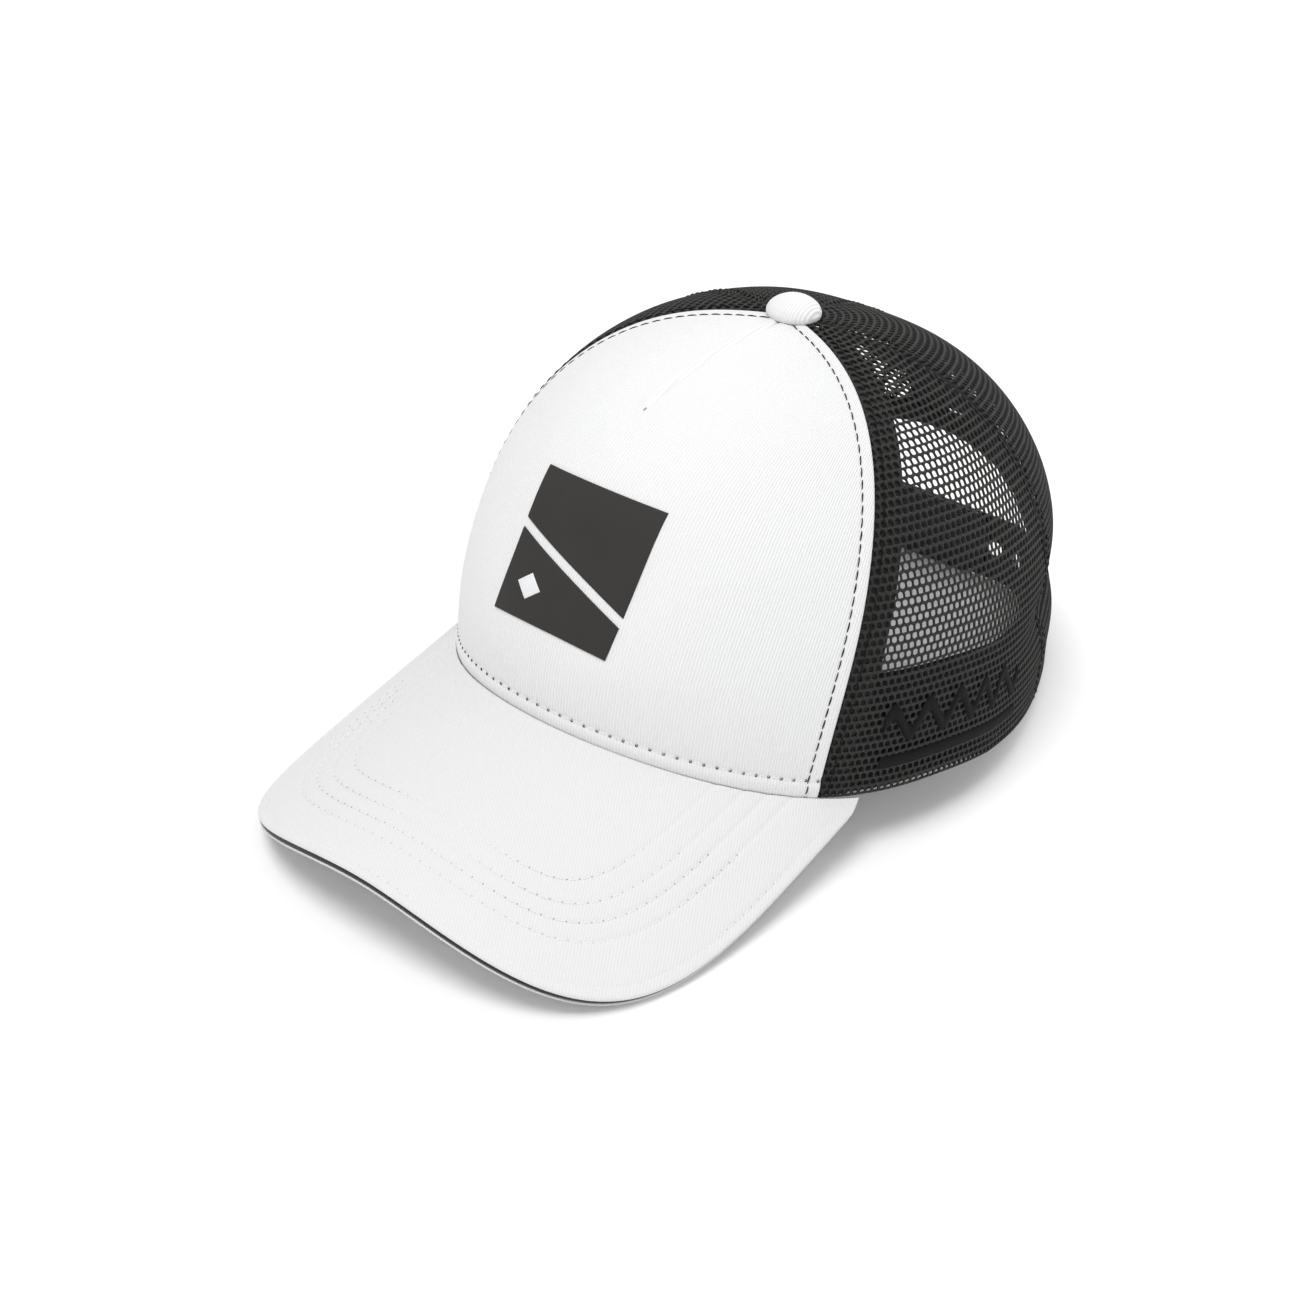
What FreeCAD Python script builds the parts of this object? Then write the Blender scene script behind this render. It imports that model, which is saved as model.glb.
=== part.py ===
import FreeCAD, Part
import math
import os
from FreeCAD import Placement, Rotation, Vector
from Sketcher import Constraint

# Trucker mesh cap, millimetres. +Z is up, the visor points towards -Y and +X is the wearer's left.
# The crown is a dome over an oval rim: angle 0 is the front, 90 the wearer's left, 180 the back.
os.makedirs("parts", exist_ok=True)
doc = FreeCAD.newDocument("TruckerCap")

DIMENSIONS = {
    # crown: oval rim, apex under the button, dome roundness towards the front, the sides and the back
    "half_width": 79.7, "front_length": 99.8, "back_length": 108.1, "apex_y": 2.15, "apex_height": 116.9,
    "front_round": 2.565, "side_round": 2.585, "back_round": 2.01, "front_taper": 1.12, "back_fullness": 0.81,
    "face_flat": 3.3, "face_flat_turn": 0.69, "face_flat_rise": 0.33, "face_flat_span": 0.14,
    "rear_rim_height": 0.5, "rim_drop": 1.6,
    "panel_top": 0.985, "panel_gap": 0.3, "lining_inset": 1.5, "lining_foot": 0.01,
    # frame: the box round the whole cap is centred on the origin and stands on the floor
    "centre_shift": 27.0, "floor_lift": -0.43,
    # panel seams, degrees at the rim and at the apex
    "front_seam_rim": 50.7, "front_seam_top": 68.7, "side_seam_rim": 114.9, "side_seam_top": 99.7,
    # visor surface and outline
    "joint_height": 35.9, "visor_slope": 0.225, "visor_bend": 76.5, "visor_corner": 58.0,
    "visor_length": 62.5, "visor_side_power": 2.74, "visor_front_power": 4.58, "visor_root": 5.0,
    "visor_lift": 0.8, "visor_start": 0.5,
    "cover_thick": 0.7, "board_thick": 1.9, "board_inset": 3.2, "insert_thick": 0.8, "insert_width": 2.6,
    "insert_end": 0.02, "layer_gap": 0.06,
    # cloth thicknesses, measured inwards from the outer face of the crown
    "fabric_thick": 0.6, "mesh_thick": 0.8, "lining_thick": 0.7, "tape_thick": 0.5, "tape_width": 13.0,
    "tape_top_front": 0.94, "tape_top_side": 0.79, "tape_top_rear": 0.94, "tape_foot": 0.012,
    "band_thick": 1.4, "band_height": 35.0, "binding_width": 8.0,
    # rear opening and its two straps
    "arch_half_width": 49.6, "arch_height": 52.7, "arch_power": 0.9, "lip_turn": 52.0, "lip_top": 0.72,
    "strap_height": 23.0, "strap_thick": 1.2, "strap_gap": 0.4, "strap_inset": 0.9, "strap_depth": 0.65,
    "strap_trim": 5.0, "trim_start": 0.72, "trim_power": 1.3, "strap_turn": 0.7,
    "tongue_root": 26.0, "tongue_tip": 22.0, "tongue_gap": 0.15, "tip_round": 5.0,
    "root_start": 26.9, "sewn_start": 51.0, "sewn_end": 62.0,
    "stud_pitch": 9.5, "stud_count": 4, "stud_radius": 2.0, "stud_rise": 2.1, "hole_radius": 2.6,
    # button
    "button_radius": 7.4, "button_rise": 5.2, "button_edge": 2.0, "cover_cloth": 0.5, "shell_thick": 0.6,
    "rivet_radius": 1.5, "rivet_head": 3.2, "rivet_depth": 5.4, "washer_radius": 7.0, "washer_thick": 1.1,
    "washer_depth": 3.9, "washer_bevel": 0.3, "button_lift": 0.25, "rivet_above": 2.2, "head_thick": 0.35,
    # front patch in two halves with a diagonal gap, and trim
    "patch_half_width": 18.65, "patch_low": 0.1845, "patch_high": 0.4605, "patch_thick": 0.45,
    "patch_bow": 0.0076, "patch_lean": 1.9,
    "patch_cut_right": 0.60, "patch_cut_left": 0.26, "patch_cut_width": 0.065,
    "motif_size": 4.2, "motif_thick": 0.15, "motif_side": 0.52, "motif_share": 0.25, "patch_rise": 48.0,
    "trim_thick": 0.4, "trim_start_turn": 61.0, "trim_turn": 36.0,
    "wave_count": 5, "wave_low": 0.118, "wave_high": 0.143, "wave_swing": 0.022,
    "bar_low": 0.050, "bar_high": 0.070,
    # labels inside
    "label_width": 42.0, "label_low": 0.60, "label_high": 0.76, "label_sunk": 0.1, "label_proud": 0.3,
    "care_start_turn": 96.0, "care_turn": 12.0, "care_low": 0.05, "care_high": 0.20, "care_thick": 0.3,
}

sheet = doc.addObject("Spreadsheet::Sheet", "Dims")
for row, (alias, value) in enumerate(DIMENSIONS.items(), start=1):
    sheet.set(f"A{row}", alias)
    sheet.set(f"B{row}", str(value))
    sheet.setAlias(f"B{row}", alias)
doc.recompute()


def dim(alias):
    return float(getattr(sheet, alias))


SHIFT = Vector(0, dim("centre_shift"), dim("floor_lift"))
HALF_WIDTH, FRONT_LENGTH, BACK_LENGTH = dim("half_width"), dim("front_length"), dim("back_length")
APEX = Vector(0, dim("apex_y"), dim("apex_height"))
GAP = dim("layer_gap")
PANEL_TOP = dim("panel_top")
SEAM_FRONT = (math.radians(dim("front_seam_rim")), math.radians(dim("front_seam_top")))
SEAM_SIDE = (math.radians(dim("side_seam_rim")), math.radians(dim("side_seam_top")))
VISOR_CORNER = math.radians(dim("visor_corner"))


# ---------------------------------------------------------------- crown surface
def signed_power(value, power):
    return math.copysign(abs(value) ** power, value)


def rim_plan(angle):
    """Oval of the rim seen from above."""
    side, ahead = math.sin(angle), math.cos(angle)
    if ahead > 0:
        return HALF_WIDTH * side, -FRONT_LENGTH * ahead ** dim("front_taper")
    return HALF_WIDTH * signed_power(side, dim("back_fullness")), BACK_LENGTH * abs(ahead)


def visor_height(x, y):
    """Top surface of the visor: slopes down to the front and bends down to both sides."""
    return (dim("joint_height") + dim("visor_slope") * (y + FRONT_LENGTH)
            - x * x / (2 * dim("visor_bend")))


def rim_law(angle):
    if angle <= VISOR_CORNER:
        return visor_height(*rim_plan(angle))
    start, end = visor_height(*rim_plan(VISOR_CORNER)), dim("rear_rim_height")
    w = ((math.pi - angle) / (math.pi - VISOR_CORNER)) ** dim("rim_drop")
    return end + (start - end) * w * w * (3 - 2 * w)


RIM_ANGLES = [math.radians(a) for a in (0, 10, 20, 30, 40, 50, 62, 76, 92, 112, 135, 158, 180)]
RIM_HEIGHTS = [rim_law(a) for a in RIM_ANGLES]
RIM_SLOPES = [0.0] + [
    (RIM_HEIGHTS[i + 1] - RIM_HEIGHTS[i - 1]) / (RIM_ANGLES[i + 1] - RIM_ANGLES[i - 1])
    for i in range(1, len(RIM_ANGLES) - 1)] + [0.0]


def rim_height(angle):
    """Height of the rim, smooth all the way round."""
    angle = math.acos(max(-1.0, min(1.0, math.cos(angle))))
    i = max(k for k in range(len(RIM_ANGLES) - 1) if RIM_ANGLES[k] <= angle)
    span = RIM_ANGLES[i + 1] - RIM_ANGLES[i]
    u = (angle - RIM_ANGLES[i]) / span
    leave, arrive = span * RIM_SLOPES[i], span * RIM_SLOPES[i + 1]
    return ((2 * u ** 3 - 3 * u ** 2 + 1) * RIM_HEIGHTS[i] + (u ** 3 - 2 * u ** 2 + u) * leave
            + (3 * u ** 2 - 2 * u ** 3) * RIM_HEIGHTS[i + 1] + (u ** 3 - u ** 2) * arrive)


def roundness(angle):
    ahead = math.cos(angle)
    front, back = max(ahead, 0) ** 1.5, max(-ahead, 0) ** 1.5
    return (dim("front_round") * front + dim("back_round") * back
            + dim("side_round") * (1 - front - back))


def dome_profile(angle, rise):
    """Reach and height, 0 to 1, at a share of the way from the rim to the apex."""
    n, turn = roundness(angle), rise * math.pi / 2
    c, s = max(math.cos(turn), 0.0), math.sin(turn)
    size = (c ** n + s ** n) ** (-1 / n)
    return size * c, size * s


def crown_point(angle, rise):
    x, y = rim_plan(angle)
    reach, height = dome_profile(angle, rise)
    low = rim_height(angle)
    aside, above = angle / dim("face_flat_turn"), (rise - dim("face_flat_rise")) / dim("face_flat_span")
    flatter = dim("face_flat") * math.exp(-aside ** 2 - above ** 2)
    y = APEX.y + (y - APEX.y) * reach + flatter
    return Vector(x * reach, y, low + (APEX.z - low) * height) + SHIFT


def seam_share(angle, rise):
    """How far a seam has turned from its rim angle to its apex angle."""
    height = dome_profile(angle, rise)[1]
    return 2 / math.pi * math.asin(min(1.0, height ** (roundness(angle) / 2)))


def seam_angle(seam, rise):
    angle = seam[0]
    for _ in range(4):
        angle = seam[0] + (seam[1] - seam[0]) * seam_share(angle, rise)
    return angle


def turn_for(width, angle, rise):
    """Angle that spans a width measured along the crown."""
    step = 1e-3
    here, there = crown_point(angle, rise), crown_point(angle + step, rise)
    return width * step / max((there - here).Length, 1e-6)


def angle_at_x(x, rise, back=False):
    """Angle at which the crown, at one rise, has a given x."""
    low, high = (math.pi / 2, math.pi) if back else (0.0, math.pi / 2)
    for _ in range(40):
        middle = (low + high) / 2
        if (crown_point(middle, rise).x < abs(x)) != back:
            low = middle
        else:
            high = middle
    return math.copysign((low + high) / 2, x) if not back or x >= 0 else 2 * math.pi - (low + high) / 2


def rise_at_z(angle, z):
    """Rise at which the crown has a given height above the floor."""
    low, high = 0.0, 1.0
    for _ in range(40):
        middle = (low + high) / 2
        low, high = (middle, high) if crown_point(angle, middle).z < z else (low, middle)
    return (low + high) / 2


# ---------------------------------------------------------------- sheet solids
def layer(surface, columns, rows, outer, inner):
    """Closed solid between two offsets of surface(u, v); the surface faces outwards."""
    def normal(u, v):
        step = 1e-3
        u0, u1 = max(u - step, 0), min(u + step, 1)
        v0, v1 = max(v - step, 0), min(v + step, 1)
        return (surface(u1, v) - surface(u0, v)).cross(surface(u, v1) - surface(u, v0)).normalize()

    faces, sides = [], []
    grid = [[(surface(i / columns, j / rows), normal(i / columns, j / rows)) for j in range(rows + 1)]
            for i in range(columns + 1)]
    for offset in (outer, inner):
        moved = [[point + direction * offset for point, direction in line] for line in grid]
        sheet_surface = Part.BSplineSurface()
        sheet_surface.interpolate(moved)
        u0, u1, v0, v1 = sheet_surface.bounds()
        faces.append(sheet_surface.toShape())
        sides.append([curve.toShape() for curve in (sheet_surface.uIso(u0), sheet_surface.uIso(u1),
                                                    sheet_surface.vIso(v0), sheet_surface.vIso(v1))])
    faces += [Part.makeRuledSurface(a, b) for a, b in zip(*sides)]
    shell = Part.makeShell(faces)
    shell.sewShape()
    solid = Part.makeSolid(shell)
    if solid.Volume < 0:
        solid.reverse()
    return solid


def between(left, right, low, high):
    """Crown surface between two seam functions of the rise, and two rises."""
    def surface(u, v):
        rise = low + (high - low) * v
        start, end = left(rise), right(rise)
        return crown_point(start + (end - start) * u, rise)
    return surface


def mirrored(shape):
    return shape.mirror(Vector(0, 0, 0), Vector(1, 0, 0))


def add_solid(name, shape):
    feature = doc.addObject("Part::Feature", name)
    feature.Shape = shape
    feature.Placement = Placement()
    feature.Label = name
    return feature


def seam(which, side=1, shift=0.0):
    """Seam line as a function of the rise, moved along the crown by a shift."""
    def line(rise):
        angle = seam_angle(which, rise)
        return side * (angle + turn_for(shift, angle, rise))
    return line


def back_line(shift):
    """Line up the back, a shift to the wearer's right of the middle."""
    def line(rise):
        room = HALF_WIDTH * dome_profile(math.pi, rise)[0] * 0.9
        return angle_at_x(-math.copysign(min(abs(shift), room), shift), rise, back=True)
    return line


HALF_GAP = dim("panel_gap") / 2
MESH, FABRIC = dim("mesh_thick"), dim("fabric_thick")
TAPE_OUT = -(FABRIC + dim("lining_thick") + 2 * GAP)
TAPE_IN = TAPE_OUT - dim("tape_thick")
BAND_OUT = TAPE_IN - GAP
BAND_IN = BAND_OUT - dim("band_thick")
STRAP_OUT = -(MESH + GAP)
STRAP_IN = STRAP_OUT - dim("strap_thick")

front = between(seam(SEAM_FRONT, -1, -HALF_GAP), seam(SEAM_FRONT, 1, -HALF_GAP), 0, PANEL_TOP)
add_solid("front_panel", layer(front, 30, 18, 0, -FABRIC))
LINING_INSET, LINING_FOOT = dim("lining_inset"), dim("lining_foot")
lining = between(seam(SEAM_FRONT, -1, -LINING_INSET), seam(SEAM_FRONT, 1, -LINING_INSET),
                 LINING_FOOT, PANEL_TOP - LINING_FOOT)
add_solid("front_lining", layer(lining, 30, 18, -FABRIC - GAP, -FABRIC - GAP - dim("lining_thick")))

side = layer(between(seam(SEAM_FRONT, 1, HALF_GAP), seam(SEAM_SIDE, 1, -HALF_GAP), 0, PANEL_TOP),
             18, 18, 0, -MESH)
add_solid("side_mesh_left", side)
add_solid("side_mesh_right", mirrored(side))


# ---------------------------------------------------------------- rear opening
ARCH_STEPS = 24
BLOCK_START, BLOCK_LENGTH, BLOCK_BELOW = 60, 80, 30


def arch_prism(grow):
    """Arch-shaped block through the back of the cap, the opening itself when grow is 0."""
    half, rise = dim("arch_half_width") + grow, dim("arch_height") + grow
    base = dim("rear_rim_height")
    outline = []
    for k in range(ARCH_STEPS + 1):
        turn = math.pi * k / ARCH_STEPS
        height = base + rise * math.sin(turn) ** dim("arch_power")
        outline.append(Vector(half * math.cos(turn), BLOCK_START, height) + SHIFT)
    curve = Part.BSplineCurve()
    curve.interpolate(outline)
    foot = [Vector(x, BLOCK_START, base - BLOCK_BELOW) + SHIFT for x in (-half, half)]
    wire = Part.Wire([curve.toShape(), Part.makeLine(outline[-1], foot[0]), Part.makeLine(*foot),
                      Part.makeLine(foot[1], outline[0])])
    return Part.Face(wire).extrude(Vector(0, BLOCK_LENGTH, 0))


arch = arch_prism(0)
rear = layer(between(seam(SEAM_SIDE, 1, HALF_GAP), back_line(-HALF_GAP), 0, PANEL_TOP), 16, 18, 0, -MESH)
rear = rear.cut(arch).Solids[0]
add_solid("rear_mesh_left", rear)
add_solid("rear_mesh_right", mirrored(rear))

STRAP_TOP = dim("rear_rim_height") + dim("strap_height")
LIP_TURN = math.radians(dim("lip_turn"))
lip_area = between(lambda rise: math.pi - LIP_TURN, lambda rise: math.pi + LIP_TURN, 0, dim("lip_top"))
lip = layer(lip_area, 30, 14, STRAP_OUT, STRAP_OUT - dim("tape_thick"))
CLEAR = 0.4
above_strap = Part.makeBox(240, 240, 120, Vector(-120, -120, STRAP_TOP + CLEAR) + SHIFT)
binding = lip.common(arch_prism(dim("binding_width"))).cut(arch_prism(CLEAR)).common(above_strap)
add_solid("arch_binding", binding.Solids[0])

tape_half = dim("tape_width") / 2
arch_top = dim("rear_rim_height") + dim("arch_height") + dim("binding_width")
tape_start = rise_at_z(math.pi, arch_top + 1.5 * CLEAR + SHIFT.z)
rear_tape = between(back_line(-tape_half), back_line(tape_half), tape_start, dim("tape_top_rear"))
add_solid("rear_seam_tape", layer(rear_tape, 4, 12, -MESH - GAP, -MESH - GAP - dim("tape_thick")))
for name, line, end in (("front_seam_tape", SEAM_FRONT, dim("tape_top_front")),
                        ("side_seam_tape", SEAM_SIDE, dim("tape_top_side"))):
    tape_area = between(seam(line, 1, -tape_half), seam(line, 1, tape_half), dim("tape_foot"), end)
    tape = layer(tape_area, 4, 20, TAPE_OUT, TAPE_IN)
    add_solid(name + "_left", tape)
    add_solid(name + "_right", mirrored(tape))

label_turn = dim("label_width") / 2
label_area = between(back_line(-label_turn), back_line(label_turn), dim("label_low"), dim("label_high"))
add_solid("main_label", layer(label_area, 8, 6, BAND_OUT + dim("label_sunk"), BAND_OUT - dim("label_proud")))


# ---------------------------------------------------------------- sweatband
BAND_END = math.pi - angle_at_x(dim("sewn_end") + 1.5, 0, back=True)


def band_surface(u, v):
    angle = (2 * u - 1) * (math.pi - BAND_END)
    rise = rise_at_z(angle, rim_height(angle) + SHIFT.z + dim("band_height"))
    return crown_point(angle, dim("tape_foot") + (rise - dim("tape_foot")) * v)


add_solid("sweatband", layer(band_surface, 44, 6, BAND_OUT, BAND_IN))


def care_label_surface(u, v):
    rise = dim("care_low") + (dim("care_high") - dim("care_low")) * v
    return crown_point(math.radians(dim("care_start_turn") + dim("care_turn") * u), rise)


add_solid("care_label", layer(care_label_surface, 4, 4, BAND_IN - GAP, BAND_IN - GAP - dim("care_thick")))


# ---------------------------------------------------------------- visor
def visor_outline(u):
    """Outer edge in plan, from corner to corner for u from -1 to 1."""
    corner_x, corner_y = rim_plan(VISOR_CORNER)
    turn = u * math.pi / 2
    root = dim("visor_root")
    x = (corner_x + root * 0.35) * signed_power(math.sin(turn), 2 / dim("visor_side_power"))
    reach = FRONT_LENGTH + dim("visor_length") + corner_y - root
    y = corner_y - root - reach * math.cos(turn) ** (2 / dim("visor_front_power"))
    return x, y


OUTLINE = [visor_outline(-math.cos(math.pi * k / 240)) for k in range(241)]
OUTLINE_LENGTH = [0.0]
for start, end in zip(OUTLINE, OUTLINE[1:]):
    OUTLINE_LENGTH.append(OUTLINE_LENGTH[-1] + math.dist(start, end))


def outline_at(share):
    """Point of the outer edge at a share of its length."""
    wanted = share * OUTLINE_LENGTH[-1]
    i = min(max(k for k in range(len(OUTLINE)) if OUTLINE_LENGTH[k] <= wanted), len(OUTLINE) - 2)
    part = (wanted - OUTLINE_LENGTH[i]) / (OUTLINE_LENGTH[i + 1] - OUTLINE_LENGTH[i])
    return tuple(a + (b - a) * part for a, b in zip(OUTLINE[i], OUTLINE[i + 1]))


def visor_surface(start_in, edge_in):
    """Visor top surface from the crown to the edge, inset at both."""
    def surface(u, v):
        angle = (1 - 2 * u) * VISOR_CORNER
        root = crown_point(angle, 0.0) - SHIFT
        out = Vector(math.sin(angle), -math.cos(angle), 0)
        x0, y0 = root.x + out.x * start_in, root.y + out.y * start_in
        x1, y1 = outline_at(1 - u)
        run = Vector(x1 - x0, y1 - y0, 0)
        keep = max(run.Length - edge_in, run.Length * 0.3) / run.Length
        x, y = x0 + run.x * keep * v, y0 + run.y * keep * v
        return Vector(x, y, visor_height(x, y) + dim("visor_lift")) + SHIFT
    return surface


COVER, BOARD, START = dim("cover_thick"), dim("board_thick"), dim("visor_start")
add_solid("visor_top_cover", layer(visor_surface(START, 0), 36, 8, 0, -COVER))
add_solid("visor_board", layer(visor_surface(START, dim("board_inset")), 36, 8,
                               -COVER - GAP, -COVER - GAP - BOARD))
under_out = -COVER - BOARD - 2 * GAP
add_solid("visor_under_cover", layer(visor_surface(START, 0), 36, 8, under_out, under_out - COVER))


def edge_surface(u, v):
    """Narrow strip along the visor edge, outside the board."""
    inset, end = dim("insert_width") * (1 - v), dim("insert_end")
    return visor_surface(START, inset)(end + (1 - 2 * end) * u, 1.0)


middle = -COVER - GAP - (BOARD - dim("insert_thick")) / 2
add_solid("visor_edge_insert", layer(edge_surface, 60, 2, middle, middle - dim("insert_thick")))


# ---------------------------------------------------------------- patch and trim
def patch_surface(low, high):
    """Part of the front patch between two lines, each a share of its height at a share of its width."""
    def surface(u, v):
        share = low(u) + (high(u) - low(u)) * v
        rise = (dim("patch_low") + (dim("patch_high") - dim("patch_low")) * share
                + dim("patch_bow") * (1 - (2 * u - 1) ** 2))
        x = (2 * u - 1) * dim("patch_half_width") - dim("patch_lean") * (1 - share) ** 3
        return crown_point(angle_at_x(x, rise), rise)
    return surface


def cut_line(offset):
    right, left = dim("patch_cut_right"), dim("patch_cut_left")
    return lambda u: right + (left - right) * u + offset


half_cut = dim("patch_cut_width") / 2
PATCH = dim("patch_thick")
add_solid("patch_lower", layer(patch_surface(lambda u: 0.0, cut_line(-half_cut)), 8, 6, GAP + PATCH, GAP))
add_solid("patch_upper", layer(patch_surface(cut_line(half_cut), lambda u: 1.0), 8, 6, GAP + PATCH, GAP))


def motif_surface(u, v):
    """Small plain lozenge on the lower half of the patch."""
    size = dim("motif_size")
    along, up = size * (u - v), size * (u + v - 1)
    share = dim("motif_share") + up / dim("patch_rise")
    rise = dim("patch_low") + (dim("patch_high") - dim("patch_low")) * share
    return crown_point(angle_at_x(along - dim("motif_side") * dim("patch_half_width"), rise), rise)


MOTIF_IN = 2 * GAP + PATCH
add_solid("patch_motif", layer(motif_surface, 4, 4, MOTIF_IN + dim("motif_thick"), MOTIF_IN))


def stitched_band(low, high, wave):
    """Embroidered band on the wearer's left side, straight or waved."""
    def surface(u, v):
        swing = wave * math.sin(2 * math.pi * dim("wave_count") * u)
        angle = math.radians(dim("trim_start_turn") + dim("trim_turn") * u)
        return crown_point(angle, low + (high - low) * v + swing)
    return surface


STITCHED = GAP + dim("trim_thick")
wave_area = stitched_band(dim("wave_low"), dim("wave_high"), dim("wave_swing"))
add_solid("side_stitched_wave", layer(wave_area, 60, 2, STITCHED, GAP))
add_solid("side_stitched_bar", layer(stitched_band(dim("bar_low"), dim("bar_high"), 0), 16, 2, STITCHED, GAP))


# ---------------------------------------------------------------- strap roots, sewn into the rear corners
TONGUE_Y = BACK_LENGTH - dim("strap_inset")


def inside_rear(x, z, depth):
    """Point at one x and height, a depth inside the outer face of the rear panel."""
    rise = 0.0
    for _ in range(3):
        angle = angle_at_x(x, rise, back=True)
        rise = rise_at_z(angle, z + SHIFT.z)
    inwards = crown_point(angle - 0.01, rise) - crown_point(angle + 0.01, rise)
    inwards = Vector(inwards.y, -inwards.x, 0).normalize()
    return crown_point(angle, rise) - inwards * math.copysign(depth, inwards.y)


def strap_root(level):
    """Rest of a strap, from its straight tongue round to the end sewn in, on the wearer's left."""
    start, sewn, end, turn = dim("root_start"), dim("sewn_start"), dim("sewn_end"), dim("strap_turn")
    depth = -(STRAP_OUT + STRAP_IN) / 2 + dim("strap_depth")

    def surface(u, v):
        trimmed = max(0.0, (u - dim("trim_start")) / (1 - dim("trim_start")))
        trim = dim("strap_trim") * trimmed ** dim("trim_power")
        z = dim("rear_rim_height") + trim + (dim("strap_height") - trim) * v
        if u > turn:
            x = sewn + (end - sewn) * (u - turn) / (1 - turn)
            point = inside_rear(x, z, depth)
            return Vector(point.x, point.y, z + SHIFT.z)
        here, ahead = inside_rear(sewn, z, depth), inside_rear(sewn + 0.5, z, depth)
        first = Vector(start, level, z) + SHIFT
        last = Vector(here.x, here.y, z + SHIFT.z)
        length = (last - first).Length
        leave = Vector(length, 0, 0)
        arrive = Vector(ahead.x - here.x, ahead.y - here.y, 0).normalize() * length
        w = u / turn
        return (first * (2 * w ** 3 - 3 * w ** 2 + 1) + leave * (w ** 3 - 2 * w ** 2 + w)
                + last * (3 * w ** 2 - 2 * w ** 3) + arrive * (w ** 3 - w ** 2))
    half = dim("strap_thick") / 2
    return layer(lambda u, v: surface(1 - u, v), 24, 5, half, -half)


inner_y = TONGUE_Y - dim("strap_thick") - dim("strap_gap")
add_solid("hole_strap_root", strap_root(TONGUE_Y))
add_solid("stud_strap_root", mirrored(strap_root(inner_y)))


# ---------------------------------------------------------------- bodies drawn with sketches and features
def origin_plane(body, role):
    return next(f for f in body.Origin.OriginFeatures if f.Role == role)


def new_body(name, position):
    body = doc.addObject("PartDesign::Body", name)
    body.Label = name
    body.Placement = Placement(position, Rotation())
    return body


def new_sketch(body, name, role, height=0.0):
    sketch = body.newObject("Sketcher::SketchObject", name)
    sketch.AttachmentSupport = [(origin_plane(body, role), "")]
    sketch.MapMode = "FlatFace"
    sketch.AttachmentOffset = Placement(Vector(0, 0, height), Rotation())
    return sketch


def bind(sketch, constraint, name, expression):
    index = sketch.addConstraint(constraint)
    sketch.renameConstraint(index, name)
    sketch.setExpression("Constraints." + name, expression)


def closed_outline(sketch, corners):
    """Closed polygon; level and upright sides are held level and upright."""
    count = len(corners)
    for i in range(count):
        start, end = Vector(*corners[i], 0), Vector(*corners[(i + 1) % count], 0)
        sketch.addGeometry(Part.LineSegment(start, end), False)
    for i in range(count):
        sketch.addConstraint(Constraint("Coincident", i, 2, (i + 1) % count, 1))
    for i in range(count):
        (x0, y0), (x1, y1) = corners[i], corners[(i + 1) % count]
        if y0 == y1:
            sketch.addConstraint(Constraint("Horizontal", i))
        elif x0 == x1:
            sketch.addConstraint(Constraint("Vertical", i))


def tongue(name, level, direction):
    """Straight end of a strap: a plate standing on edge, with a rounded free end."""
    body = new_body(name, Vector(0, level + dim("strap_thick") / 2, dim("rear_rim_height")) + SHIFT)
    height, inset = dim("strap_height") * 0.98, dim("strap_height") * 0.01
    outline = new_sketch(body, name + "_outline", "XZ_Plane")
    x0, x1 = direction * (dim("tongue_root") - dim("tongue_gap")), -direction * dim("tongue_tip")
    closed_outline(outline, [(x0, inset), (x1, inset), (x1, inset + height), (x0, inset + height)])
    bind(outline, Constraint("DistanceX", -1, 1, 0, 1, x0), "Root",
         f"{direction} * (Dims.tongue_root - Dims.tongue_gap) * 1 mm")
    bind(outline, Constraint("DistanceX", -1, 1, 0, 2, x1), "Tip", f"{-direction} * Dims.tongue_tip * 1 mm")
    bind(outline, Constraint("DistanceY", -1, 1, 0, 1, inset), "Low", "Dims.strap_height * 0.01 * 1 mm")
    bind(outline, Constraint("DistanceY", -1, 1, 2, 1, inset + height), "High",
         "Dims.strap_height * 0.99 * 1 mm")
    plate = body.newObject("PartDesign::Pad", name + "_plate")
    plate.Profile = outline
    plate.setExpression("Length", "Dims.strap_thick * 1 mm")
    doc.recompute()
    tip_edges = [f"Edge{i + 1}" for i, e in enumerate(plate.Shape.Edges)
                 if abs(e.CenterOfMass.x - x1) < 1e-6 and e.Length < dim("strap_thick") + 0.1]
    rounded = body.newObject("PartDesign::Fillet", name + "_rounded")
    rounded.Base = (plate, tip_edges)
    rounded.setExpression("Radius", "Dims.tip_round * 1 mm")
    doc.recompute()
    return body


def row_of_four(body, name, feature):
    pattern = body.newObject("PartDesign::LinearPattern", name)
    pattern.Originals = [feature]
    pattern.Direction = (feature.Profile[0], ["H_Axis"])
    pattern.setExpression("Length", "Dims.stud_pitch * (Dims.stud_count - 1) * 1 mm")
    pattern.setExpression("Occurrences", "Dims.stud_count")
    body.Tip = pattern
    doc.recompute()


first_x = -dim("stud_pitch") * (dim("stud_count") - 1) / 2
middle_z = dim("strap_height") / 2


def round_sketch(body, name, height, radius_alias):
    sketch = new_sketch(body, name, "XZ_Plane", height)
    sketch.addGeometry(Part.Circle(Vector(first_x, middle_z, 0), Vector(0, 0, 1), dim(radius_alias)), False)
    bind(sketch, Constraint("Radius", 0, dim(radius_alias)), "Size", f"Dims.{radius_alias} * 1 mm")
    bind(sketch, Constraint("DistanceY", -1, 1, 0, 3, middle_z), "Level", "Dims.strap_height / 2 * 1 mm")
    bind(sketch, Constraint("DistanceX", 0, 3, -1, 1, -first_x), "First",
         "Dims.stud_pitch * (Dims.stud_count - 1) / 2 * 1 mm")
    return sketch


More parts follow.
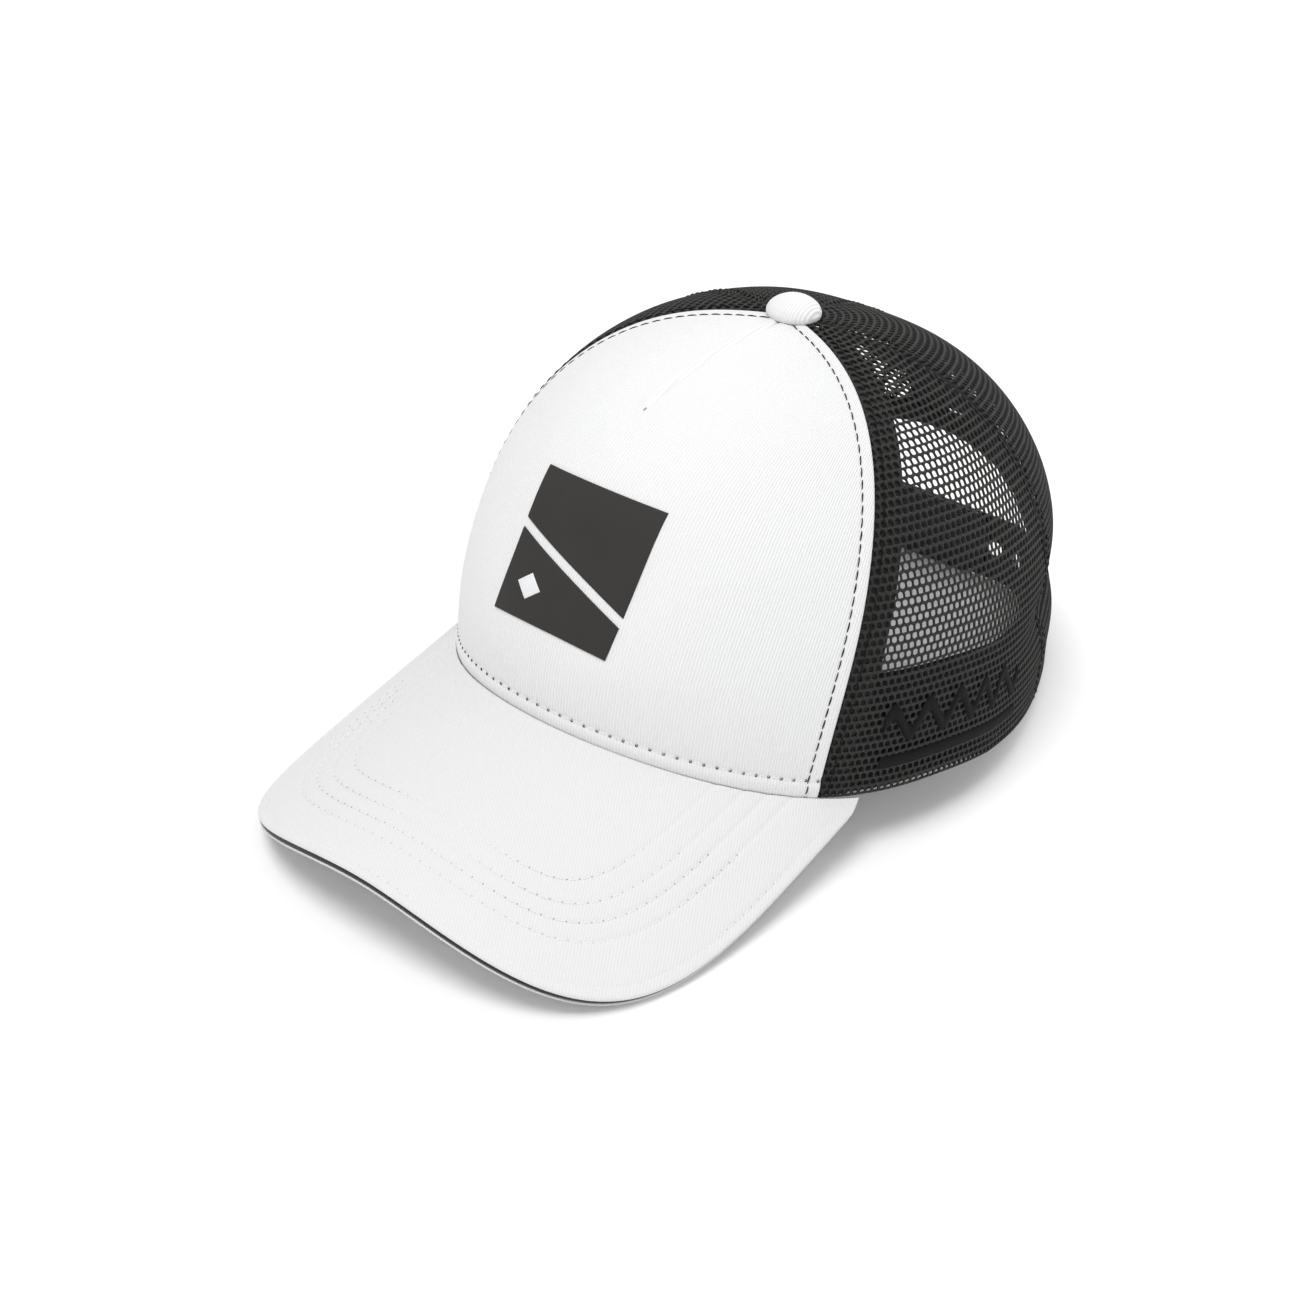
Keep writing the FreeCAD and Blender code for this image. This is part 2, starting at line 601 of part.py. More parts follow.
hole_tongue = tongue("hole_strap_tongue", TONGUE_Y, 1)
hole = hole_tongue.newObject("PartDesign::Pocket", "snap_hole")
hole.Profile = round_sketch(hole_tongue, "snap_hole_outline", dim("strap_thick"), "hole_radius")
hole.setExpression("Length", "Dims.strap_thick * 1 mm")
doc.recompute()
row_of_four(hole_tongue, "snap_holes", hole)

stud_tongue = tongue("stud_strap_tongue", inner_y, -1)
stud = stud_tongue.newObject("PartDesign::Pad", "snap_stud")
stud.Profile = round_sketch(stud_tongue, "snap_stud_outline", 0.0, "stud_radius")
stud.setExpression("Length", "Dims.stud_rise * 1 mm")
stud.Reversed = True
doc.recompute()
row_of_four(stud_tongue, "snap_studs", stud)


def turned(name, corners, bulge, radius_rule, position):
    """Body turned about its upright axis; bulge maps a side's index to the middle point of its arc."""
    body = new_body(name, position)
    profile = new_sketch(body, name + "_profile", "XZ_Plane")
    count = len(corners)
    for i in range(count):
        start, end = Vector(*corners[i], 0), Vector(*corners[(i + 1) % count], 0)
        curved = i in bulge
        edge_line = Part.Arc(start, Vector(*bulge[i], 0), end) if curved else Part.LineSegment(start, end)
        profile.addGeometry(edge_line, False)
    for i in (1, 3):
        profile.addConstraint(Constraint("Vertical", i))
    bind(profile, Constraint("DistanceX", -1, 1, 1, 1, corners[1][0]), "Radius", radius_rule)
    solid = body.newObject("PartDesign::Revolution", name + "_turned")
    solid.Profile = profile
    solid.ReferenceAxis = (profile, ["V_Axis"])
    solid.Angle = 360
    doc.recompute()
    return body


def cap_middle(radius, foot, rise):
    """Point halfway along the arc of a dome's profile."""
    ball = (radius ** 2 + rise ** 2) / (2 * rise)
    half_turn = math.asin(radius / ball) / 2
    return ball * math.sin(half_turn), foot + rise - ball * (1 - math.cos(half_turn))


button_place = APEX + SHIFT + Vector(0, 0, dim("button_lift"))
outer_r, edge, rise = dim("button_radius"), dim("button_edge"), dim("button_rise") - dim("button_edge")
cloth, metal = dim("cover_cloth"), dim("shell_thick")
inner_r, core_r = outer_r - cloth, outer_r - cloth - metal - GAP
turned("button_cover",
       [(0, edge + rise), (outer_r, edge), (outer_r, 0), (inner_r, 0), (inner_r, edge),
        (0, edge + rise - cloth)],
       {0: cap_middle(outer_r, edge, rise), 4: cap_middle(inner_r, edge, rise - cloth)},
       "Dims.button_radius * 1 mm", button_place)
shell_r, shell_rise = inner_r - GAP, rise - cloth - GAP
turned("button_shell",
       [(0, edge + shell_rise), (shell_r, edge), (shell_r, 0), (core_r, 0), (core_r, edge),
        (0, edge + shell_rise - metal)],
       {0: cap_middle(shell_r, edge, shell_rise), 4: cap_middle(core_r, edge, shell_rise - metal)},
       "(Dims.button_radius - Dims.cover_cloth - Dims.layer_gap) * 1 mm", button_place)

rivet = new_body("button_rivet", button_place)
shank = new_sketch(rivet, "rivet_shank", "XY_Plane", -dim("rivet_depth"))
shank.addGeometry(Part.Circle(Vector(0, 0, 0), Vector(0, 0, 1), dim("rivet_radius")), False)
shank.addConstraint(Constraint("Coincident", 0, 3, -1, 1))
bind(shank, Constraint("Radius", 0, dim("rivet_radius")), "Size", "Dims.rivet_radius * 1 mm")
shank_pad = rivet.newObject("PartDesign::Pad", "rivet_shank_pad")
shank_pad.Profile = shank
shank_pad.setExpression("Length", "(Dims.rivet_depth + Dims.rivet_above) * 1 mm")
head = new_sketch(rivet, "rivet_head_outline", "XY_Plane", -dim("rivet_depth"))
head.addGeometry(Part.Circle(Vector(0, 0, 0), Vector(0, 0, 1), dim("rivet_head")), False)
head.addConstraint(Constraint("Coincident", 0, 3, -1, 1))
bind(head, Constraint("Radius", 0, dim("rivet_head")), "Size", "Dims.rivet_head * 1 mm")
head_pad = rivet.newObject("PartDesign::Pad", "rivet_head_pad")
head_pad.Profile = head
head_pad.setExpression("Length", "Dims.head_thick * 1 mm")
doc.recompute()

washer = new_body("button_washer", button_place)
ring = new_sketch(washer, "washer_outline", "XY_Plane", -dim("washer_depth") - dim("washer_thick"))
RIVET_PLAY = 0.1
for index, (alias, extra) in enumerate((("washer_radius", 0.0), ("rivet_radius", RIVET_PLAY))):
    ring.addGeometry(Part.Circle(Vector(0, 0, 0), Vector(0, 0, 1), dim(alias) + extra), False)
    ring.addConstraint(Constraint("Coincident", index, 3, -1, 1))
    bind(ring, Constraint("Radius", index, dim(alias) + extra), f"Size{index}",
         f"(Dims.{alias} + {extra}) * 1 mm")
ring_pad = washer.newObject("PartDesign::Pad", "washer_pad")
ring_pad.Profile = ring
ring_pad.setExpression("Length", "Dims.washer_thick * 1 mm")
doc.recompute()
bevel = washer.newObject("PartDesign::Chamfer", "washer_bevel")
bevel.Base = (ring_pad, [f"Edge{i + 1}" for i, e in enumerate(ring_pad.Shape.Edges)
                         if e.Length > 2 * math.pi * (dim("washer_radius") - 1)
                         and e.BoundBox.ZMax < ring_pad.Shape.BoundBox.ZMin + 0.01])
bevel.setExpression("Size", "Dims.washer_bevel * 1 mm")
doc.recompute()


# ---------------------------------------------------------------- checks and export
doc.recompute()
for item in doc.Objects:
    if "Invalid" in item.State or "Error" in item.State:
        raise RuntimeError(f"{item.Name} did not recompute: {item.State}")

low, high = Vector(1e9, 1e9, 1e9), Vector(-1e9, -1e9, -1e9)
for item in doc.Objects:
    is_piece = item.TypeId == "PartDesign::Body" or (item.TypeId == "Part::Feature" and not item.InList)
    if not is_piece:
        continue
    shape = item.Shape
    if shape.isNull() or not shape.isValid() or not shape.Solids or shape.Volume <= 0:
        raise RuntimeError(f"{item.Label} has no valid solid")
    box = shape.BoundBox
    low = Vector(min(low.x, box.XMin), min(low.y, box.YMin), min(low.z, box.ZMin))
    high = Vector(max(high.x, box.XMax), max(high.y, box.YMax), max(high.z, box.ZMax))
    shape.exportStep(f"parts/{item.Label}.step")
    print(f"{item.Label:24s} {len(shape.Solids)} solid {shape.Volume:9.1f} mm3"
          f"  x {box.XMin:7.2f} {box.XMax:7.2f}  y {box.YMin:7.2f} {box.YMax:7.2f}"
          f"  z {box.ZMin:7.2f} {box.ZMax:7.2f}")
print("box", low, high)
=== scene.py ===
import math

import bmesh
import bpy
import numpy as np
from mathutils import Matrix, Vector


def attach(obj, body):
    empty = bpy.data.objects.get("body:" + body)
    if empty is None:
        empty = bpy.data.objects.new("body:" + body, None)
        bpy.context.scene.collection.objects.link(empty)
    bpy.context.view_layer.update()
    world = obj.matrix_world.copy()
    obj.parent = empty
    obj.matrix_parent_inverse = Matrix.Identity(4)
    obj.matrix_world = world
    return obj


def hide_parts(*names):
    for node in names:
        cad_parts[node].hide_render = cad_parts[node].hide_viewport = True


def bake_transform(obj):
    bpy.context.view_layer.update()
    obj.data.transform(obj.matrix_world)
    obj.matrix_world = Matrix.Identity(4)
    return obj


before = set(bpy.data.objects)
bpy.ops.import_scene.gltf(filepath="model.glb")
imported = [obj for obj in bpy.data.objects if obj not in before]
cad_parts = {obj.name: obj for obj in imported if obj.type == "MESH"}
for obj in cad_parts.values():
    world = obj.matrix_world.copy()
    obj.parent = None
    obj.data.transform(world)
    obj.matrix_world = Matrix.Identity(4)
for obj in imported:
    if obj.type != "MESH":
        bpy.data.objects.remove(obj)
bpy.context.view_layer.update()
PI = math.pi

# Lengths below are millimetres and are turned into metres when a mesh is made.
HALF_WIDTH, FRONT, BACK = 79.7, 99.8, 108.1
APEX_Y, APEX_Z = 2.15, 116.9
SHIFT = np.array([0.0, 27.0, -0.43])
TOP = 0.985
SEAM_FRONT, SEAM_SIDE = np.radians([50.7, 68.7]), np.radians([114.9, 99.7])
CORNER = math.radians(58.0)


# ---- crown surface
def plan(a):
    s, c = np.sin(a), np.cos(a)
    ahead = np.maximum(c, 0)
    front = c > 0
    x = np.where(front, HALF_WIDTH * s, HALF_WIDTH * np.sign(s) * np.abs(s) ** 0.81)
    return x, np.where(front, -FRONT * ahead**1.12, BACK * np.abs(c))


def visor_height(x, y):
    return 35.9 + 0.225 * (y + FRONT) - x * x / 153.0


def rim_law(a):
    x, y = plan(min(a, CORNER))
    start = float(visor_height(x, y))
    if a <= CORNER:
        return start
    w = ((PI - a) / (PI - CORNER)) ** 1.6
    return 0.5 + (start - 0.5) * w * w * (3 - 2 * w)


RIM_A = np.radians([0, 10, 20, 30, 40, 50, 62, 76, 92, 112, 135, 158, 180])
RIM_H = np.array([rim_law(a) for a in RIM_A])
RIM_S = np.concatenate([[0.0], (RIM_H[2:] - RIM_H[:-2]) / (RIM_A[2:] - RIM_A[:-2]), [0.0]])


def cubic(t, start, leave, end, arrive):
    """Curve between two values, with a slope at each."""
    return (start * (2 * t**3 - 3 * t**2 + 1) + leave * (t**3 - 2 * t**2 + t)
            + end * (3 * t**2 - 2 * t**3) + arrive * (t**3 - t**2))


def rim_height(a):
    a = np.arccos(np.clip(np.cos(a), -1, 1))
    i = np.clip(np.searchsorted(RIM_A, a, side="right") - 1, 0, len(RIM_A) - 2)
    span = RIM_A[i + 1] - RIM_A[i]
    return cubic((a - RIM_A[i]) / span, RIM_H[i], span * RIM_S[i], RIM_H[i + 1], span * RIM_S[i + 1])


def roundness(a):
    c = np.cos(a)
    front, back = np.maximum(c, 0) ** 1.5, np.maximum(-c, 0) ** 1.5
    return 2.565 * front + 2.01 * back + 2.585 * (1 - front - back)


def profile(a, r):
    n, turn = roundness(a), np.clip(r, 0, 1) * PI / 2
    c, s = np.maximum(np.cos(turn), 1e-9), np.maximum(np.sin(turn), 1e-9)
    size = (c**n + s**n) ** (-1 / n)
    return size * c, size * s


def crown(a, r):
    a, r = np.broadcast_arrays(np.asarray(a, float), np.asarray(r, float))
    x, y = plan(a)
    reach, height = profile(a, r)
    low = rim_height(a)
    z = low + (APEX_Z - low) * height
    flatter = 3.3 * np.exp(-((a / 0.69) ** 2) - ((r - 0.33) / 0.14) ** 2)
    return np.stack([x * reach, APEX_Y + (y - APEX_Y) * reach + flatter, z], -1) + SHIFT


def unit(v):
    return v / np.maximum(np.linalg.norm(v, axis=-1, keepdims=True), 1e-12)


def crown_normal(a, r):
    step = 2e-3
    r = np.clip(r, 1e-3, 0.999)
    round_way = crown(a + step, r) - crown(a - step, r)
    up_way = crown(a, np.minimum(r + step, 1)) - crown(a, np.maximum(r - step, 0))
    return unit(np.cross(round_way, up_way))


# depth, angle and its spread, height and its spread: above the sweatband, its crease, and the foot
SAGS = ((0.9, 2.2, 0.30, 46, 16), (6.2, 2.2, 0.34, 37.5, 9.5), (2.0, 2.1, 0.26, 12, 15))


def sag(a, z):
    """How far the soft net sinks in behind the ears, most of all just above the sweatband."""
    turn = np.abs(np.arctan2(np.sin(a), np.cos(a)))
    return sum(depth * np.exp(-(((turn - at) / wide) ** 2) - ((z - high) / tall) ** 2)
               for depth, at, wide, high, tall in SAGS)


def skin(a, r, off):
    """Point of the crown moved outwards along its normal."""
    p = crown(a, r)
    return p + crown_normal(a, r) * (np.asarray(off, float) - sag(a, p[..., 2]))[..., None]


def seam(line, r):
    """Seam angle at a rise."""
    a = np.full(np.shape(r), line[0], float)
    for _ in range(5):
        share = 2 / PI * np.arcsin(np.clip(profile(a, r)[1] ** (roundness(a) / 2), 0, 1))
        a = line[0] + (line[1] - line[0]) * share
    return a


def beside(a, r, width):
    """Angle moved along the crown by a width."""
    gap = np.linalg.norm(crown(a + 1e-3, r) - crown(a, r), axis=-1)
    return a + np.asarray(width) * 1e-3 / np.maximum(gap, 1e-6)


def angle_of_x(x, r, back=False):
    """Angle at which the crown has a given x."""
    x = np.asarray(x, float)
    a = np.full(np.broadcast(x, r).shape, PI if back else 0.0)
    for _ in range(14):
        s = np.clip(np.abs(x) / (HALF_WIDTH * profile(a, r)[0]), 0, 0.999)
        a = PI - np.arcsin(s ** (1 / 0.81)) if back else np.arcsin(s)
    return np.where(x >= 0, a, 2 * PI - a if back else -a)


def rise_of_z(a, z):
    low, high = np.zeros(np.shape(a)), np.ones(np.shape(a))
    for _ in range(30):
        mid = (low + high) / 2
        under = crown(a, mid)[..., 2] < z
        low, high = np.where(under, mid, low), np.where(under, high, mid)
    return (low + high) / 2


def on_back(x, z):
    """Angle and rise at which the back of the crown has a given x and height."""
    r = np.full(np.broadcast(x, z).shape, 0.1)
    a = angle_of_x(x, r, True)
    for _ in range(10):
        r = rise_of_z(a, z)
        a = angle_of_x(x, r, True)
    return a, r


def smooth(x, a, b):
    t = np.clip((x - a) / (b - a), 0, 1)
    return t * t * (3 - 2 * t)


def bell(x, middle, width):
    return np.exp(-(((x - middle) / width) ** 2))


def groove(distance, depth, width):
    return -depth * bell(distance, 0, width)


def rounded(distance, width):
    """Quarter circle from 0 at an edge to 1 at a width from it."""
    return np.sqrt(1 - np.clip(1 - distance / width, 0, 1) ** 2)


def columns(x, count):
    return np.repeat(x[:, None], count, 1)


# ---- mesh helpers
def link(obj):
    bpy.context.scene.collection.objects.link(obj)
    return obj


def make(name, verts, faces, material, uv=None, slot=None, replaces=()):
    """Mesh object that rides on the crown.

    Points are in millimetres; faces is a list of index arrays, each with 3 or 4 columns;
    uv is per point, in centimetres.
    """
    verts = np.asarray(verts, float).reshape(-1, 3)
    mesh = bpy.data.meshes.new(name)
    corner = np.concatenate([f.ravel() for f in faces])
    sizes = np.concatenate([np.full(len(f), f.shape[1]) for f in faces])
    mesh.vertices.add(len(verts))
    mesh.vertices.foreach_set("co", (verts * 0.001).astype(np.float32).ravel())
    mesh.loops.add(len(corner))
    mesh.loops.foreach_set("vertex_index", corner.astype(np.int32))
    mesh.polygons.add(len(sizes))
    mesh.polygons.foreach_set("loop_start", np.concatenate([[0], np.cumsum(sizes)[:-1]]).astype(np.int32))
    mesh.update(calc_edges=True)
    mesh.polygons.foreach_set("use_smooth", np.full(len(sizes), True))
    if uv is not None:
        layer = mesh.uv_layers.new(name="weave")
        layer.data.foreach_set("uv", np.asarray(uv, float).reshape(-1, 2)[corner].astype(np.float32).ravel())
    mesh.validate()
    mesh.materials.append(material)
    obj = link(bpy.data.objects.new(name, mesh))
    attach(obj, "crown")
    if replaces:
        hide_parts(*replaces)
    return obj


def grid_faces(rows, cols, start=0, flip=False, wrap=False):
    """Quads of a grid of points; wrap joins the last column to the first."""
    i, j = np.meshgrid(np.arange(rows - 1), np.arange(cols if wrap else cols - 1), indexing="ij")
    k = (j + 1) % cols
    low, high = i * cols, (i + 1) * cols
    q = np.stack([low + j, low + k, high + k, high + j], -1).reshape(-1, 4) + start
    return q[:, ::-1] if flip else q


def closed_sheet(name, outer, inner, uv, material, **kw):
    """Closed mesh between two grids of points, whose first index runs up and second runs to the left."""
    rows, cols = outer.shape[:2]
    count = rows * cols
    index = np.arange(count).reshape(rows, cols)
    ring = np.concatenate([index[0, :-1], index[:-1, -1], index[-1, :0:-1], index[:0:-1, 0]])
    after = np.roll(ring, -1)
    rim = np.stack([after, ring, ring + count, after + count], -1)
    faces = [grid_faces(rows, cols), grid_faces(rows, cols, count, True), rim]
    verts = np.concatenate([outer.reshape(-1, 3), inner.reshape(-1, 3)])
    uv = np.concatenate([uv.reshape(-1, 2), uv.reshape(-1, 2)])
    return make(name, verts, faces, material, uv, **kw)


def measure(points):
    """Length run along a line of points."""
    return np.concatenate([[0], np.cumsum(np.linalg.norm(np.diff(points, axis=0), axis=1))])


def sample(points, run, at):
    """Values of a measured line at given lengths."""
    return np.stack([np.interp(at, run, column) for column in points.T], -1)


def stitch_row(points, normals, pitch, gap, radius, lift, skew=0.0, sides=7):
    """Points and faces of a row of stitches, and where the thread goes in."""
    rings = 7
    length = measure(points)
    count = max(int(length[-1] / pitch), 1)
    pitch = length[-1] / count
    t = np.linspace(0, 1, rings)
    at = np.arange(count)[:, None] * pitch + gap / 2 + (pitch - gap) * t
    centre, up = sample(points, length, at), unit(sample(normals, length, at))
    side = np.cross(unit(np.gradient(centre, axis=1)), up)
    arch = np.sin(PI * t) ** 0.45
    rise = lift * arch - radius * 1.3 * (1 - arch)
    centre = centre + up * rise[None, :, None] + side * (skew * (t - 0.5))[None, :, None]
    thick = radius * (0.5 + 0.5 * np.sin(PI * t) ** 0.5)
    turn = (np.arange(sides) * 2 * PI / sides)[None, None, :, None]
    around = side[:, :, None] * np.cos(turn) + up[:, :, None] * np.sin(turn)
    ring = centre[:, :, None] + thick[None, :, None, None] * around
    one = grid_faces(rings, sides, wrap=True)
    caps = [np.arange(sides)[::-1], (rings - 1) * sides + np.arange(sides)]
    fans = np.concatenate([np.stack([np.full(sides - 2, c[0]), c[1:-1], c[2:]], -1) for c in caps])
    base = (np.arange(count) * rings * sides)[:, None, None]
    holes = np.arange(count + 1) * pitch
    return (ring.reshape(-1, 3), (one[None] + base).reshape(-1, 4), (fans[None] + base).reshape(-1, 3),
            (sample(points, length, holes), sample(normals, length, holes)))


def stitches(name, rows, material, slot=None, **kw):
    """One object that holds several rows of stitches; each row is (points, normals)."""
    verts, quads, tris, holes, base = [], [], [], [], 0
    for points, normals in rows:
        v, q, t, where = stitch_row(points, normals, **kw)
        verts.append(v)
        quads.append(q + base)
        tris.append(t + base)
        holes.append(where)
        base += len(v)
    faces = [np.concatenate(quads), np.concatenate(tris)]
    return make(name, np.concatenate(verts), faces, material, slot=slot), holes


def puncture_shade_dots(name, holes, material, radius, lift):
    """Small dark cones over the needle holes; their dark colour is painted shade of the holes."""
    verts, faces, base = [], [], 0
    k = np.arange(8)
    turn = (k * PI / 4)[None, :, None]
    tri = np.stack([k, (k + 1) % 8, np.full(8, 8)], -1)
    for where, normal in holes:
        normal = unit(normal)
        side = unit(np.cross(normal, [0.3, 0.5, 0.81]))
        around = side[:, None] * np.cos(turn) + np.cross(normal, side)[:, None] * np.sin(turn)
        ring = (where + normal * lift)[:, None] + radius * around
        verts.append(np.concatenate([ring, (where - normal * 0.12)[:, None]], 1).reshape(-1, 3))
        faces.append((tri[None] + (base + np.arange(len(where)) * 9)[:, None, None]).reshape(-1, 3))
        base += len(where) * 9
    make(name, np.concatenate(verts), [np.concatenate(faces)], material)


# ---- materials
def shader(name, colour, rough, **sockets):
    m = bpy.data.materials.new(name)
    m.use_nodes = True
    b = m.node_tree.nodes["Principled BSDF"]
    b.inputs["Base Color"].default_value = (*colour, 1)
    b.inputs["Roughness"].default_value = rough
    for key, value in sockets.items():
        b.inputs[key.replace("_", " ")].default_value = value
    return m


def node(m, kind, inputs=None, **settings):
    n = m.node_tree.nodes.new(kind)
    for key, value in settings.items():
        setattr(n, key, value)
    for key, value in (inputs or {}).items():
        if isinstance(value, bpy.types.NodeSocket):
            m.node_tree.links.new(value, n.inputs[key])
        else:
            n.inputs[key].default_value = value
    return n


def calc(m, operation, a, b=0.0, c=0.0):
    return node(m, "ShaderNodeMath", {0: a, 1: b, 2: c}, operation=operation).outputs[0]


def weave_axes(m):
    uv = node(m, "ShaderNodeUVMap", uv_map="weave").outputs[0]
    xyz = node(m, "ShaderNodeSeparateXYZ", {"Vector": uv})
    return xyz.outputs["X"], xyz.outputs["Y"], uv


def wave(m, position, pitch):
    """Sine from -1 to 1 along a position in centimetres, with a pitch in millimetres."""
    return calc(m, "SINE", calc(m, "MULTIPLY", position, 2 * PI / (pitch * 0.1)))


def noise(m, scale, detail, vector=None):
    if vector is None:
        vector = node(m, "ShaderNodeTexCoord").outputs["Object"]
    inputs = {"Vector": vector, "Scale": scale, "Detail": detail, "Roughness": 0.55}
    return node(m, "ShaderNodeTexNoise", inputs).outputs["Fac"]


def fuzz(m, uv, scale, detail, size):
    """Fine unevenness about zero."""
    return calc(m, "MULTIPLY_ADD", noise(m, scale, detail, uv), size, -size / 2)


def relief(m, height, strength, distance):
    """Bump in metres on the material's shader."""
    b = m.node_tree.nodes["Principled BSDF"]
    bump = node(m, "ShaderNodeBump", {"Height": height, "Strength": strength, "Distance": distance})
    m.node_tree.links.new(bump.outputs[0], b.inputs["Normal"])


def tint(m, height, low, high, start=-1.0, end=1.0):
    """Colour between two shades by height. On the cloths the height follows the weave's relief, so their
    darker low shade is painted shade in its hollows.
    """
    b = m.node_tree.nodes["Principled BSDF"]
    share = node(m, "ShaderNodeMapRange", {"Value": height, "From Min": start, "From Max": end}).outputs[0]
    mix = node(m, "ShaderNodeMix", {"Factor": share}, data_type="RGBA")
    mix.inputs[6].default_value, mix.inputs[7].default_value = (*low, 1), (*high, 1)
    m.node_tree.links.new(mix.outputs[2], b.inputs["Base Color"])


def ribbed_cloth(name, low, high):
    """Woven cloth with fine upright ribs."""
    m = shader(name, high, 0.82, Sheen_Weight=0.12, Sheen_Roughness=0.5, Specular_IOR_Level=0.25)
    u, v, uv = weave_axes(m)
    ribs = wave(m, calc(m, "MULTIPLY_ADD", noise(m, 0.9, 2.0, uv), 0.03, u), 0.84)
    yarn = calc(m, "MULTIPLY", wave(m, v, 0.62), 0.15)
    height = calc(m, "ADD", calc(m, "ADD", ribs, yarn), fuzz(m, uv, 22.0, 2.0, 0.5))
    relief(m, height, 0.6, 0.00014)
    # darker low shade in the grooves between the ribs: painted shade, with random tone from the fuzz
    tint(m, height, low, high, -1.2, 0.7)
    return m


def twill_cloth(name, low, high, rough=0.8, depth=0.00006, sheen=0.12, pitch=0.84):
    """Woven cloth with slanting ribs."""
    m = shader(name, high, rough, Sheen_Weight=sheen, Sheen_Roughness=0.5, Specular_IOR_Level=0.25)
    u, v, uv = weave_axes(m)
    drift = calc(m, "MULTIPLY_ADD", noise(m, 0.8, 2.0, uv), 0.04, u)
    ribs = wave(m, calc(m, "MULTIPLY_ADD", v, 0.55, drift), pitch)
    yarn = calc(m, "MULTIPLY", wave(m, calc(m, "MULTIPLY_ADD", u, -0.35, v), 0.6), 0.2)
    height = calc(m, "ADD", calc(m, "ADD", ribs, yarn), fuzz(m, uv, 22.0, 2.0, 0.6))
    relief(m, height, 0.5, depth)
    # darker low shade in the grooves of the twill: painted shade, with random tone from the fuzz
    tint(m, height, low, high, -1.4, 0.8)
    return m


def knit_cloth(name, low, high):
    """Knitted yarn that runs round the holes of a net."""
    m = shader(name, high, 0.78, Sheen_Weight=0.10, Sheen_Roughness=0.4, Specular_IOR_Level=0.25)
    u, v, uv = weave_axes(m)
    bend = calc(m, "MULTIPLY", wave(m, u, 2.2), 0.035)
    yarn = wave(m, calc(m, "ADD", v, bend), 0.39)
    twist = calc(m, "MULTIPLY", wave(m, calc(m, "MULTIPLY_ADD", v, 0.6, u), 0.33), 0.6)
    height = calc(m, "ADD", calc(m, "ADD", yarn, twist), fuzz(m, uv, 45.0, 3.0, 1.6))
    relief(m, height, 0.7, 0.00012)
    # darker low shade in the hollows of the yarn: painted shade, with random tone from the fuzz
    tint(m, height, low, high, -1.6, 1.6)
    return m


def tape_cloth(name, low, high, pitch=0.9, rough=0.8):
    """Narrow tape with a herringbone weave."""
    m = shader(name, high, rough, Sheen_Weight=0.2, Sheen_Roughness=0.4, Specular_IOR_Level=0.3)
    u, v, uv = weave_axes(m)
    ribs = wave(m, calc(m, "ADD", v, calc(m, "PINGPONG", u, 0.16)), pitch)
    height = calc(m, "ADD", ribs, fuzz(m, uv, 50.0, 3.0, 1.0))
    relief(m, height, 0.6, 0.00012)
    # darker low shade in the hollows of the herringbone: painted shade, with random tone from the fuzz
    tint(m, height, low, high, -1.3, 1.1)
    return m


def net_cloth(name, low, high, pitch=1.1):
    """Stiff open scrim with a square weave."""
    m = shader(name, high, 0.85, Specular_IOR_Level=0.2)
    u, v, uv = weave_axes(m)
    height = calc(m, "MAXIMUM", wave(m, u, pitch), wave(m, v, pitch))
    height = calc(m, "ADD", height, fuzz(m, uv, 40.0, 3.0, 0.8))
    relief(m, height, 0.6, 0.00018)
    # darker low shade in the hollows of the weave: painted shade, with random tone from the fuzz
    tint(m, height, low, high, -0.9, 0.9)
    return m


def thread(name, low, high, rough, gloss=0.4, sheen=0.15):
    m = shader(name, high, rough, Specular_IOR_Level=gloss, Sheen_Weight=sheen)
    fibre = noise(m, 5200.0, 2.0)
    relief(m, fibre, 0.35, 0.00006)
    tint(m, fibre, low, high, 0.3, 0.7)
    return m


def moulded(name, low, high, rough, grain=2600.0, depth=0.00004, metal=0.0):
    """Moulded or pressed material with a fine grain."""
    m = shader(name, high, rough, Specular_IOR_Level=0.45, Metallic=metal)
    fine, broad = noise(m, grain, 3.0), noise(m, 90.0, 4.0)
    relief(m, calc(m, "ADD", fine, broad), 0.4, depth)
    tint(m, broad, low, high, 0.35, 0.65)
    limits = {"From Min": 0.3, "From Max": 0.7, "To Min": rough - 0.06, "To Max": rough + 0.08}
    spread = node(m, "ShaderNodeMapRange", {"Value": broad, **limits}).outputs[0]
    m.node_tree.links.new(spread, m.node_tree.nodes["Principled BSDF"].inputs["Roughness"])
    return m


WHITE_RIB = ribbed_cloth("white_ribbed_cloth", (0.735, 0.735, 0.745), (0.815, 0.815, 0.82))
WHITE_TWILL = twill_cloth("white_twill_cloth", (0.660, 0.660, 0.670), (0.715, 0.715, 0.72))
WHITE_SCRIM = net_cloth("white_scrim", (0.55, 0.55, 0.54), (0.82, 0.82, 0.81))
BLACK_KNIT = knit_cloth("black_knit", (0.005, 0.0048, 0.0046), (0.044, 0.042, 0.040))
BLACK_TAPE = tape_cloth("black_tape", (0.004, 0.004, 0.004), (0.013, 0.0125, 0.0125))
BLACK_TWILL = twill_cloth("black_twill", (0.005, 0.005, 0.005), (0.020, 0.0195, 0.0195),
                          rough=0.85, depth=0.00014, sheen=0.08, pitch=0.8)
BLACK_THREAD = thread("black_thread", (0.004, 0.004, 0.004), (0.012, 0.0115, 0.0115), 0.75, 0.15, 0.0)
WHITE_THREAD = thread("white_thread", (0.66, 0.66, 0.67), (0.86, 0.86, 0.86), 0.5)
# grey: thread of the dart tack, and painted shade of the stitch holes on the visor's top
GREY_THREAD_AND_PIT_SHADE = thread("grey_thread_and_painted_pit_shade", (0.22, 0.22, 0.23), (0.40, 0.40, 0.41), 0.8)
